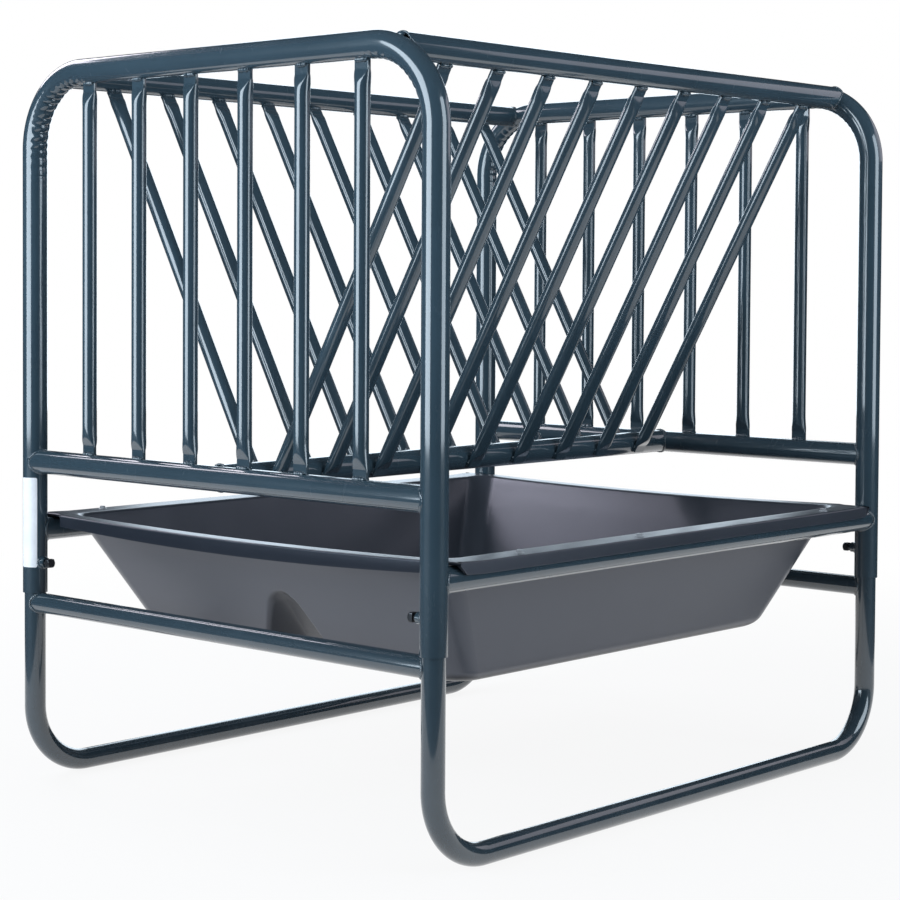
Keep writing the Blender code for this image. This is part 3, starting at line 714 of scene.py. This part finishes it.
# name, the way it runs, middle, radius, wall, reach from the middle to its end
rails = [("centre_tube", "Y", (0, 0, rs["centreZ"]), rs["centreRadius"], rs["wall"], toPanelRail)]
toPost, toPostAlong = toTube(postX, archSizes["radius"]), toTube(postY, archSizes["radius"])
toLeg = toTube(postX, skidSizes["radius"])
for row, end in frontRear:
    rails += [
        (row + "_panel_rail", "X", (0, end * postY, rs["panelZ"]), rs["radius"], rs["wall"], toPost),
        (row + "_cross_rail", "X", (0, end * postY, rs["crossZ"]), rs["crossRadius"], rs["crossWall"], toLeg),
    ]
for column, end in leftRight:
    topX = end * rs["topX"]
    rails += [
        (column + "_tray_rail", "Y", (end * postX, 0, rs["trayZ"]), rs["radius"], rs["wall"], toPostAlong),
        (column + "_top_rail", "Y", (topX, 0, rs["topZ"]), rs["radius"], rs["wall"], toArch(topX)),
    ]
frameWelds, baseWelds = [], []
for number, (name, along, place, radius, wall, reach) in enumerate(rails):
    grid = railGrid(along, place, radius, wall, reach)
    body, welds = ("skid_base", baseWelds) if "cross" in name else ("upper_frame", frameWelds)
    dress(name + "_bar", [(grid, "ring")], powderCoat, name, body)
    size = ws["topRail"] if "top" in name else ws["rail"]
    for end in (-1, 1):
        welds.append(ringWeld(railRing(along, place, radius, reach, end), place, size, 10 * number + end + 1))


def weldLump(centre, halves):
    # a low mound: a globe stretched to three half sizes, with a slow ripple over it
    polar = np.linspace(ws["lumpPole"], math.pi - ws["lumpPole"], ws["lumpRings"])[:, None]
    around = circleTurns(ws["lumpSides"])
    ripple = 1 + ws["lumpRipple"] * np.sin(3 * around + 2 * polar) * np.sin(polar)
    wide = np.sin(polar) * ripple
    globe = surface(wide * np.cos(around), wide * np.sin(around), np.cos(polar))
    return globe * np.array(halves) + np.array(centre), "solid"


corners = [np.array([endX, endY, 1]) * ws["lumpPlace"] for endX in (-1, 1) for endY in (-1, 1)]
frameWelds += [weldLump(corner, ws["lumpHalves"]) for corner in corners]
dress("frame_welds", frameWelds, weldCoat, sharp=60)
dress("base_welds", baseWelds, weldCoat, body="skid_base", sharp=60)
print("feeder: rails coped and welded")

barSizes = {
    "radius": 12.7, "flatWidth": 30.5, "flatThickness": 6.5, "flatLength": 15, "ramp": 19, "flare": 33,
    "sides": 56, "panelPitch": 133.6, "panelCount": 6, "rackPitch": 127, "rackCount": 9, "rackSlope": 29.3,
    "squareness": 9,   # of the edges between the flats and the round sides
    "fullRound": 1.9,   # ramp lengths after which the flats lie outside the tube
    "early": 4,   # the flare begins this far down in the flat
    "flatRings": 5, "flareRings": 26, "bodyRings": (8, 60),
    "gap": 0.3,   # between a bar's end or flat and the tube that it is welded to
    "footPastTouch": 3,   # how far a rack bar goes on below the point where its flat touches the centre tube
}
# the short ropes at the bars' ends: length, half width
dabSizes = {
    "panel": (27, 4.1), "rackHead": (26, 4.7), "rackFlank": (15, 2.6), "rackFoot": (25, 2.8), "pitch": 4.6,
    "points": 15, "bow": 0.5, "out": 3.9, "flankOut": (5, 2.8, 15.2), "footOut": (0.4, 2.2),
    "inward": (0.4, 0.3),   # how far from the end of a panel bar and of a rack bar
    "lean": (0.8, 0.6),   # which way they face: out from the bar, and along it
    "seed": 7, "shift": (-1.5, 1.5), "spare": (-4, 2),   # chance in a panel bar's ropes: place, length
}
bs, ds = barSizes, dabSizes


def pinchedBar(length):
    # Across is an ellipse that widens towards the ends. Through is a circle cut by two flats, whose
    # distance from the middle falls along a straight ramp to the thin end:
    # through = cut s / (1 + |s|^9)^(1/9), with s = radius sin(theta) / cut
    flareEnd = bs["flatLength"] + bs["flare"]
    near = join([
        np.linspace(0, bs["flatLength"], bs["flatRings"]),
        bs["flatLength"] + np.linspace(0, 1, bs["flareRings"])[1:] * bs["flare"],
        [flareEnd + further for further in bs["bodyRings"]],
    ])
    height = join([near, [length / 2], (length - near)[::-1]])
    fromEnd = np.minimum(height, length - height)
    rampShare = np.clip((fromEnd - bs["flatLength"]) / bs["ramp"], 0, bs["fullRound"])[:, None]
    thin = bs["flatThickness"] / 2
    cut = thin + rampShare * (bs["radius"] - thin)
    narrowing = smoothStep(fromEnd, bs["flatLength"] - bs["early"], flareEnd)
    wide = bs["radius"] + (bs["flatWidth"] / 2 - bs["radius"]) * (1 - narrowing)
    theta = circleTurns(bs["sides"])
    across = wide[:, None] * np.cos(theta)
    steep = bs["radius"] * np.sin(theta) / cut
    through = cut * steep / (1 + np.abs(steep) ** bs["squareness"]) ** (1 / bs["squareness"])
    return surface(across, through, height[:, None])


def placed(grid, origin, wideWay, thickWay, longWay):
    return grid @ np.array([wideWay, thickWay, longWay], float) + np.array(origin, float)


def addDab(welds, kind, centre, wideWay, outWay, spare=0):
    # a short rope across a bar's flat, a little bowed
    length, size = ds[kind]
    share = np.linspace(-1, 1, ds["points"])[:, None]
    bow = (1 - share ** 2) * ds["bow"] * np.array(outWay)
    path = np.array(centre) + share * (length + spare) / 2 * np.array(wideWay) + bow
    outward = np.repeat([outWay], ds["points"], axis=0)
    welds.append(weldRope(path, outward, size, False, len(welds), ds["pitch"]))


panelWelds, rackWelds = [], []
footZ = rs["panelZ"] + rs["radius"] + bs["gap"]
headZ = archSizes["runZ"] - archSizes["radius"] - bs["gap"]
chance = np.random.default_rng(ds["seed"])
leanOut, leanAlong = ds["lean"]
panelInward, rackInward = ds["inward"]
for row, end in frontRear:
    for index in range(bs["panelCount"]):
        x = (index - (bs["panelCount"] - 1) / 2) * bs["panelPitch"]
        grid = placed(pinchedBar(headZ - footZ), (x, end * postY, footZ), (1, 0, 0), (0, 1, 0), (0, 0, 1))
        name = f"{row}_panel_bar_{index + 1}"
        dress(name + "_tube", [(grid, "solid")], powderCoat, name, sharp=28)
        for side in (-1, 1):
            for z, way in ((footZ, 1), (headZ, -1)):
                shift, spare = (chance.uniform(*ds[key]) for key in ("shift", "spare"))
                centre = (x + shift, end * postY + side * ds["out"], z + way * panelInward)
                addDab(panelWelds, "panel", centre, (1, 0, 0), (0, side * leanOut, way * leanAlong), spare)

slope = math.radians(bs["rackSlope"])
for column, end in leftRight:
    longWay = np.array([end * math.sin(slope), 0, math.cos(slope)])
    thickWay = np.array([end * math.cos(slope), 0, -math.sin(slope)])
    aboveCentre = rs["centreRadius"] + bs["gap"] + bs["flatThickness"] / 2
    foot = np.array([0, 0, rs["centreZ"]]) + thickWay * aboveCentre - longWay * bs["footPastTouch"]
    toRail = np.array([end * rs["topX"], 0, rs["topZ"]]) - foot
    aside = max(abs(toRail @ thickWay) - bs["flatThickness"] / 2, 0)
    length = toRail @ longWay - math.sqrt((rs["radius"] + bs["gap"]) ** 2 - aside ** 2)
    for index in range(bs["rackCount"]):
        y = (index - (bs["rackCount"] - 1) / 2) * bs["rackPitch"]
        start = foot + np.array([0, y, 0])
        grid = placed(pinchedBar(length), start, (0, 1, 0), thickWay, longWay)
        name = f"{column}_rack_bar_{index + 1}"
        dress(name + "_tube", [(grid, "solid")], powderCoat, name, sharp=28)
        top = start + longWay * length
        flankLong, flankThick, flankWide = ds["flankOut"]
        for side in (-1, 1):
            centre = top + thickWay * side * ds["out"] - longWay * rackInward
            outWay = thickWay * side * leanOut - longWay * leanAlong
            addDab(rackWelds, "rackHead", centre, (0, 1, 0), outWay)
            edge = start + longWay * flankLong - thickWay * flankThick + np.array([0, side * flankWide, 0])
            addDab(rackWelds, "rackFlank", edge, longWay, (0, side * leanOut, leanAlong))
        centre = start - longWay * ds["footOut"][0] - thickWay * ds["footOut"][1]
        addDab(rackWelds, "rackFoot", centre, (0, 1, 0), -longWay)
dress("panel_bar_welds", panelWelds, weldCoat, sharp=60)
dress("rack_bar_welds", rackWelds, weldCoat, sharp=60)
print("feeder: panel bars and rack bars placed")

boltSizes = {
    "z": 397, "radius": 5.0, "pitch": 1.5, "threadDepth": 0.62, "tip": 19.35, "nutEnd": 32.525,
    "nutRadius": 9.5, "headUnder": 38.525, "headTop": 48.525, "headHalf": 7.5, "squareness": 16, "sides": 48,
    # the head's rings: depth under the top or over the underside, greatest radius there
    "topRings": ((0, 5.6), (0, 7.0), (0.5, 7.6), (1.6, 8.8), (3, 10.7)),
    "underRings": ((1.6, 10.7), (0.5, 9.6), (0, 8.6)),
    "shankStep": 0.15, "tipTaper": (2.2, 1.2), "bore": (5.06, 5.7), "chamfer": (0.9, 0.6), "seatGap": 0.1,
    "seamOut": 0.6, "seamLift": 0.8, "seamSize": 2.3, "seamLean": 4, "seamSeed": 400,
}


def setBolt(b):
    # A square head with its corners turned off at both faces, then a shank whose radius climbs and falls
    # once for each pitch while it goes once round.
    theta = circleTurns(b["sides"])
    power = b["squareness"]
    square = b["headHalf"] / (np.abs(np.cos(theta)) ** power + np.abs(np.sin(theta)) ** power) ** (1 / power)
    headX = [b["headTop"] - depth for depth, _ in b["topRings"]]
    headX = np.array(headX + [b["headUnder"] + rise for rise, _ in b["underRings"]])[:, None]
    limit = np.array([reach for _, reach in b["topRings"] + b["underRings"]])[:, None]
    head = np.minimum(square, limit)
    shankX = np.arange(b["headUnder"], b["tip"], -b["shankStep"])[:, None]
    wave = np.abs((shankX / b["pitch"] + theta / (2 * math.pi)) % 1 * 2 - 1)
    taperLength, taperDepth = b["tipTaper"]
    fade = smoothStep(shankX, b["tip"], b["tip"] + taperLength)
    shank = b["radius"] - b["threadDepth"] * wave - (1 - fade) * taperDepth
    radius = join([head, shank])
    return surface(join([headX, shankX]), radius * np.cos(theta), radius * np.sin(theta))


def weldNut(b):
    # a round collar: out along the bore, over the chamfered end, back along the outside to the curved post
    theta = circleTurns(b["sides"])
    bore, mouth = b["bore"]
    outer, inner = b["chamfer"]
    rim, end = b["nutRadius"], b["nutEnd"]
    radius = np.array([bore, bore, mouth, rim - outer, rim, rim])[:, None]
    x = np.array([0, end - inner, end, end, end - outer, 0])[:, None]
    seat = np.sqrt(archSizes["radius"] ** 2 - (radius * np.cos(theta)) ** 2) + b["seatGap"]
    return surface(np.where(x == 0, seat, x), radius * np.cos(theta), radius * np.sin(theta))


def nutSeam(b):
    # a circle round the nut that lies on the curved post
    theta = circleTurns(b["sides"])
    radius = b["nutRadius"] + b["seamOut"]
    across, up = radius * np.cos(theta), radius * np.sin(theta)
    return surface(np.sqrt(archSizes["radius"] ** 2 - across ** 2) + b["seamLift"], across, up)


for row, endY in frontRear:
    for column, endX in leftRight:
        place = np.array([endX * postX, endY * postY, boltSizes["z"]])
        turned = np.array([-endX, 1, 1])
        name = f"{row}_{column}"
        bolt = setBolt(boltSizes) * turned + place
        dress(name + "_square_bolt", [(bolt, "solid")], boltSteel, name + "_set_bolt", name + "_bolt", 30)
        seam = nutSeam(boltSizes) * turned
        outward = seam - seam.mean(axis=0) + np.array([-endX * boltSizes["seamLean"], 0, 0])
        seed = boltSizes["seamSeed"] + endX + 3 * endY
        rope = weldRope(seam + place, outward, boltSizes["seamSize"], True, seed)
        sheets = [(weldNut(boltSizes) * turned + place, "ring"), rope]
        dress(name + "_nut_collar", sheets, weldCoat, name + "_weld_nut", sharp=40)
print("feeder: set bolts and nuts turned")

traySizes = {
    "wall": 4.5, "baseZ": 257, "halfX": 452, "halfY": 555, "slopeX": 0.358, "slopeY": 0.612, "corner": 45,
    "fillet": 33, "lipX": 516, "lipY": 600, "edge": 3, "innerEdge": 5, "skirtDrop": 19.5, "rimRise": 1.5,
    "rimSag": 7, "skirtSag": 6, "flare": 5, "notchY": 588, "notchX": 462, "notchRimX": 444, "notchSlant": 15,
    "pocketX": 35, "pocketTopZ": 388, "pocketRound": 30, "pocketTilt": math.asin(1 / 3),
    "pocketFlare": (0.65, 0.37),   # left and right
    "pocketCrown": 10,   # height of the round top, below which the scoop flares
    "pocketLeft": (-6, 34), "pocketRight": (-9, 1),   # where its sides begin and end, from its outline
    # fullHollow is the press depth at which the scoop's painted shade is full
    "pocketSoft": 9, "pocketNear": (-20, -2), "fullHollow": 7,
    "railZ": 455, "lipUnderZ": 476.5, "lipTopZ": 481,
    # from where to where the end rims sag, and their skirts with them
    "rimY": (530, 570), "rimZ": (400, 456.5), "skirtY": (588, 593), "skirtZ": 466.5,
    # columns: steps along the sides, in a corner, and along the ends with close ones at the pocket
    "sideTo": 0.94, "sideColumns": 26, "sideLast": (0.965, 0.985, 1.0), "cornerColumns": 15,
    "nearCorner": (0, 4, 12), "coarseX": (380, 136), "coarseColumns": 14, "rearColumns": 24,
    "denseStep": 2.4, "denseTo": 134, "notchTurn": 0.6,
    # rings: floor, fillet, wall (from, to, step), round edges in degrees, and the lip's two faces
    "floorShares": (0.02, 0.2, 0.4, 0.6, 0.8), "filletTurns": (0, 10, 20, 30, 40, 50, 60, 68),
    "fineZ": (284, 396, 2.5), "coarseZ": (402, 474, 9), "innerTurns": (0, 20, 40, 60, 78, 90),
    "edgeTurns": (90, 65, 40, 20, 0), "browShares": (0.2, 0.4, 0.6, 0.8), "underShares": (0.35, 0.7, 1.0),
    "hem": (2, 0.3), "underFlare": 0.8,
}
ts = traySizes


def wallHalf(z, half, slopeOf, inset):
    # half width at a height: a sloped wall that a fillet turns into the floor
    lean = math.atan(slopeOf)
    radius = ts["fillet"] - inset
    centreZ = ts["baseZ"] + ts["fillet"]
    centre = half + slopeOf * (centreZ - ts["railZ"]) - ts["fillet"] / math.cos(lean)
    straight = half + slopeOf * (z - ts["railZ"]) - inset / math.cos(lean)
    curved = centre + np.sqrt(np.maximum(radius ** 2 - (centreZ - z) ** 2, 0))
    return np.where(z > centreZ - radius * math.sin(lean), straight, curved)


def trayColumns():
    # Going round the tray: for each column how far along the end (ax) and the side (ay) it stands, its turn
    # in the corner, the point of the lip's outline that it leads to with that outline's normal, if a skirt
    # hangs there, the quarter's signs, and if it is on a side.
    sideShares = join([np.linspace(0, ts["sideTo"], ts["sideColumns"]), ts["sideLast"]])
    cornerTurns = np.radians(np.linspace(0, 90, ts["cornerColumns"]))
    dense = np.arange(0, ts["denseTo"], ts["denseStep"])
    flatEnd = ts["halfX"] - ts["corner"]
    near = flatEnd - np.array(ts["nearCorner"])
    coarse = np.linspace(*ts["coarseX"], ts["coarseColumns"])
    endShares = {
        1: 1 - join([near, np.linspace(ts["coarseX"][0], 0, ts["rearColumns"])]) / flatEnd,
        -1: 1 - join([near, coarse, dense[::-1]]) / flatEnd,
    }
    quarters = []
    for signX, signY, forward in ((1, 1, True), (-1, 1, False), (-1, -1, True), (1, -1, False)):
        shares = endShares[signY]
        nS, nC, nE = len(sideShares), len(cornerTurns), len(shares)
        cutShare = np.linspace(0, 1, nC)
        firstPart = np.clip(cutShare / ts["notchTurn"], 0, 1)
        lastPart = np.clip((cutShare - ts["notchTurn"]) / (1 - ts["notchTurn"]), 0, 1)
        cutX = ts["lipX"] + (ts["notchX"] - ts["lipX"]) * firstPart
        cutX = cutX + (ts["notchRimX"] - ts["notchX"]) * lastPart
        cutY = ts["notchY"] + (ts["lipY"] - ts["notchY"]) * lastPart
        slant = math.atan2(ts["lipY"] - ts["notchY"], ts["notchX"] - ts["notchRimX"])
        cutNormal = np.where(lastPart > 0, math.pi / 2 - slant, math.pi / 2)
        side, corner = np.ones(nS), np.ones(nC)
        table = np.stack([join(row) for row in (
            (side, corner, 1 - shares),
            (sideShares, corner, np.ones(nE)),
            (0 * side, cornerTurns, np.full(nE, math.pi / 2)),
            (ts["lipX"] * side, cutX, ts["notchRimX"] * (1 - shares)),
            (ts["notchY"] * sideShares, cutY, np.full(nE, ts["lipY"])),
            (0 * side, cutNormal, np.full(nE, math.pi / 2)),
            (side, 0 * corner, np.ones(nE)),
            (np.full(nS + nC + nE, signX),),
            (np.full(nS + nC + nE, signY),),
            (side, np.zeros(nC + nE)),
        )])
        if not forward:
            table = table[:, ::-1]
        quarters.append(table[:, :-1])  # its last column is the next quarter's first
    return join(quarters, axis=1)


ax, ay, turnOf, outX, outY, outTurn, hasSkirt, signX, signY, onSide = trayColumns()


def roundedRing(halfX, halfY, corner, z):
    # a rounded rectangle
    x = signX * (ax * (halfX - corner) + corner * np.cos(turnOf))
    y = signY * (ay * (halfY - corner) + corner * np.sin(turnOf))
    return surface(x, y, z)


def trayRing(z, inset, scale=1.0):
    # the tray's outline at this height
    halfX = wallHalf(z, ts["halfX"], ts["slopeX"], inset) * scale
    halfY = wallHalf(z, ts["halfY"], ts["slopeY"], inset) * scale
    return roundedRing(halfX, halfY, (ts["corner"] - inset) * scale, z)


def lipRing(z, inset):
    # the lip's outline, drawn in by the inset
    x = signX * (outX - inset * np.cos(outTurn))
    y = signY * (outY - inset * np.sin(outTurn))
    return surface(x, y, z)


def settleRims(points):
    # the end rims hang lower between their corners
    x, y, z = points[..., 0], points[..., 1], points[..., 2]
    atEnd = smoothStep(np.abs(y), *ts["rimY"])
    high = smoothStep(z, *ts["rimZ"])
    bow = 1 - np.clip(np.abs(x) / ts["notchX"], 0, 1) ** 2
    deeper = np.where(z < ts["skirtZ"], smoothStep(np.abs(y), *ts["skirtY"]), 0)
    drop = ts["rimSag"] * bow - ts["rimRise"] + ts["skirtSag"] * bow * deeper
    return surface(x, y, z - atEnd * high * drop)


def pressPocket(points, grow):
    # A scoop is pressed into the front end: its back is a leaning plane, and a point in front of that plane
    # moves along Y onto it, by (depth + sqrt(depth^2 + 9)) / 2. Going down, the scoop widens from a round
    # top. Its right side is steep, its left side soft.
    x, y, z = points[..., 0], points[..., 1], points[..., 2]
    beta = math.atan(ts["slopeY"]) + ts["pocketTilt"]
    apexY = -(ts["halfY"] + ts["slopeY"] * (ts["pocketTopZ"] - ts["railZ"]))
    drop = np.maximum(ts["pocketTopZ"] + grow - z, 0)
    depth = (grow - (y - apexY) * math.cos(beta) - (z - ts["pocketTopZ"]) * math.sin(beta)) / math.cos(beta)
    crown = ts["pocketRound"] * np.sqrt(1 - (1 - np.minimum(drop / ts["pocketRound"], 1)) ** 2) + grow
    left, right = (crown + flare * np.maximum(drop - ts["pocketCrown"], 0) for flare in ts["pocketFlare"])
    aside = x - ts["pocketX"]
    within = 1 - smoothStep(aside, right + ts["pocketRight"][0], right + ts["pocketRight"][1])
    within = within * smoothStep(aside, -left + ts["pocketLeft"][0], -left + ts["pocketLeft"][1])
    push = np.where((y < 0) & (drop > 0), 0.5 * (depth + np.sqrt(depth ** 2 + ts["pocketSoft"])), 0)
    push = push * smoothStep(depth, *ts["pocketNear"]) * within * smoothStep(drop, 0, ts["pocketCrown"])
    return surface(x, y + push, z), push


def moulding():
    # From the middle of the floor inside, up the wall, over the lip and its skirt, and down outside. The
    # second result says of each point how far it is in the hollow, which sets the painted shade there.
    wall, edge = ts["wall"], ts["innerEdge"]
    angles = np.radians(ts["filletTurns"])
    floorIn, floorOut = ts["baseZ"] + wall, ts["baseZ"]
    risesIn = floorIn + (ts["fillet"] - wall) * (1 - np.cos(angles))
    risesOut = floorOut + ts["fillet"] * (1 - np.cos(angles))
    wallZ = join([np.arange(*ts["fineZ"]), np.arange(*ts["coarseZ"])])
    inside = [trayRing(floorIn, wall, s) for s in ts["floorShares"]]
    inside += [trayRing(z, wall) for z in (*risesIn, *wallZ)]
    lip = []
    topX = wallHalf(ts["lipTopZ"], ts["halfX"], ts["slopeX"], wall)
    topY = wallHalf(ts["lipTopZ"], ts["halfY"], ts["slopeY"], wall)
    for angle in np.radians(ts["innerTurns"]):
        rise, grow = edge * (1 - math.sin(angle)), edge * (1 - math.cos(angle))
        halfX, halfY = topX - ts["slopeX"] * rise + grow, topY - ts["slopeY"] * rise + grow
        lip.append(roundedRing(halfX, halfY, ts["corner"] - wall + grow, ts["lipTopZ"] - rise))
    flare = ts["flare"] * onSide
    brow = lipRing(ts["lipTopZ"], ts["edge"] + flare)
    lip += [lip[-1] * (1 - s) + brow * s for s in ts["browShares"]]
    for angle in np.radians(ts["edgeTurns"]):
        drop, inset = ts["edge"] * (1 - math.sin(angle)), ts["edge"] * (1 - math.cos(angle))
        lip.append(lipRing(ts["lipTopZ"] - drop, inset + flare))
    low = np.where(hasSkirt > 0, ts["lipUnderZ"] - ts["skirtDrop"] + wall, ts["lipUnderZ"])
    hemRise, hemInset = ts["hem"]
    for z, inset in ((low + hemRise * hasSkirt, 0.0), (low, hemInset), (low, wall)):
        ring = lipRing(z, inset * hasSkirt)
        limit = np.where(onSide > 0, ts["notchY"] - ts["notchSlant"], np.inf)
        ring[:, 1] = np.sign(ring[:, 1]) * np.minimum(np.abs(ring[:, 1]), limit)
        lip.append(ring)
    under = lipRing(ts["lipUnderZ"], wall * hasSkirt + ts["underFlare"] * flare)
    wallTop = trayRing(ts["lipUnderZ"], 0)
    lip += [under] + [under * (1 - s) + wallTop * s for s in ts["underShares"]]
    outside = [trayRing(z, 0) for z in (*wallZ[::-1], *risesOut[::-1])]
    outside += [trayRing(floorOut, 0, s) for s in ts["floorShares"][::-1]]
    inside, _ = pressPocket(np.array(inside), wall)
    outside, pressed = pressPocket(np.array(outside), 0.0)
    grid = settleRims(join([inside, np.array(lip), outside]))
    elsewhere = np.zeros((len(inside) + len(lip), len(ax)))
    return grid, join([elsewhere, np.clip(pressed / ts["fullHollow"], 0, 1)])


grid, hollow = moulding()
tray = dress("grain_tray", [(grid, "solid")], trayPlastic, "tray", sharp=32)
# the hollow attribute is read by the tray's finish for the scoop's painted shade
inHollow = tray.data.attributes.new("hollow", "FLOAT", "POINT")
inHollow.data.foreach_set("value", hollow.astype(np.float32).ravel())
print("feeder: tray moulded")

screwSizes = {
    "places": [(490, -420), (490, -107), (490, 465), (-490, 420), (-490, 107), (-490, -465)],
    "hex": 4.6, "lift": 0.05, "sides": 48,
    "washer": ((0.0, 8.2), (0.7, 8.2), (1.2, 7.6), (1.7, 6.2)),   # height, radius
    "head": ((1.8, 1), (4.4, 1), (5.0, 0.92), (5.4, 0.7)),   # height, share of the hexagon
    "crown": (5.4, 0.3),
}


def trayScrew(x, y, s):
    # a washer that domes up to a six-sided head with a rounded top
    theta = circleTurns(s["sides"])[None, :]
    hexagon = s["hex"] / np.cos((theta + math.pi / 6) % (math.pi / 3) - math.pi / 6)
    steps = [(z, radius + 0 * theta) for z, radius in s["washer"]]
    steps += [(z, hexagon * share) for z, share in s["head"]]
    steps.append((s["crown"][0], s["crown"][1] + 0 * theta))
    radius = join([r for _, r in steps])
    z = ts["lipTopZ"] + s["lift"] + np.array([z for z, _ in steps])[:, None]
    return surface(x + radius * np.cos(theta), y + radius * np.sin(theta), z)


screws = [(trayScrew(x, y, screwSizes), "solid") for x, y in screwSizes["places"]]
dress("tray_screws", screws, screwZinc, sharp=30)
print("feeder: screws driven")

labelSizes = {
    "azimuth": -71.2, "halfArc": 43, "lowZ": 388.5, "highZ": 550.5, "corner": 3.2,
    "inner": 22.04, "outer": 22.19, "columns": 33, "cornerRings": 9, "cornerFrom": 0.12, "plainFrom": 20,
}


def postLabel(s):
    # A thin curved sheet. Its half width at a height shrinks along a quarter circle at the corners.
    cornerTurn = np.linspace(s["cornerFrom"], math.pi / 2, s["cornerRings"])
    fromEnd = join([s["corner"] * (1 - np.cos(cornerTurn)), [s["plainFrom"]]])
    height = join([s["lowZ"] + fromEnd, s["highZ"] - fromEnd[::-1]])
    near = np.minimum(np.minimum(height - s["lowZ"], s["highZ"] - height), s["corner"])
    cut = s["corner"] - np.sqrt(s["corner"] ** 2 - (s["corner"] - near) ** 2)
    half = math.radians(s["halfArc"]) - cut / s["outer"]
    share = np.linspace(-1, 1, s["columns"])
    share = join([share, share[::-1]])
    radius = np.repeat([s["outer"], s["inner"]], s["columns"])
    turn = math.radians(s["azimuth"]) + half[:, None] * share
    return surface(radius * np.cos(turn) - postX, radius * np.sin(turn) - postY, height[:, None])


dress("blank_label", [(postLabel(labelSizes), "solid")], labelFilm, sharp=30)
print("feeder: label laid on")
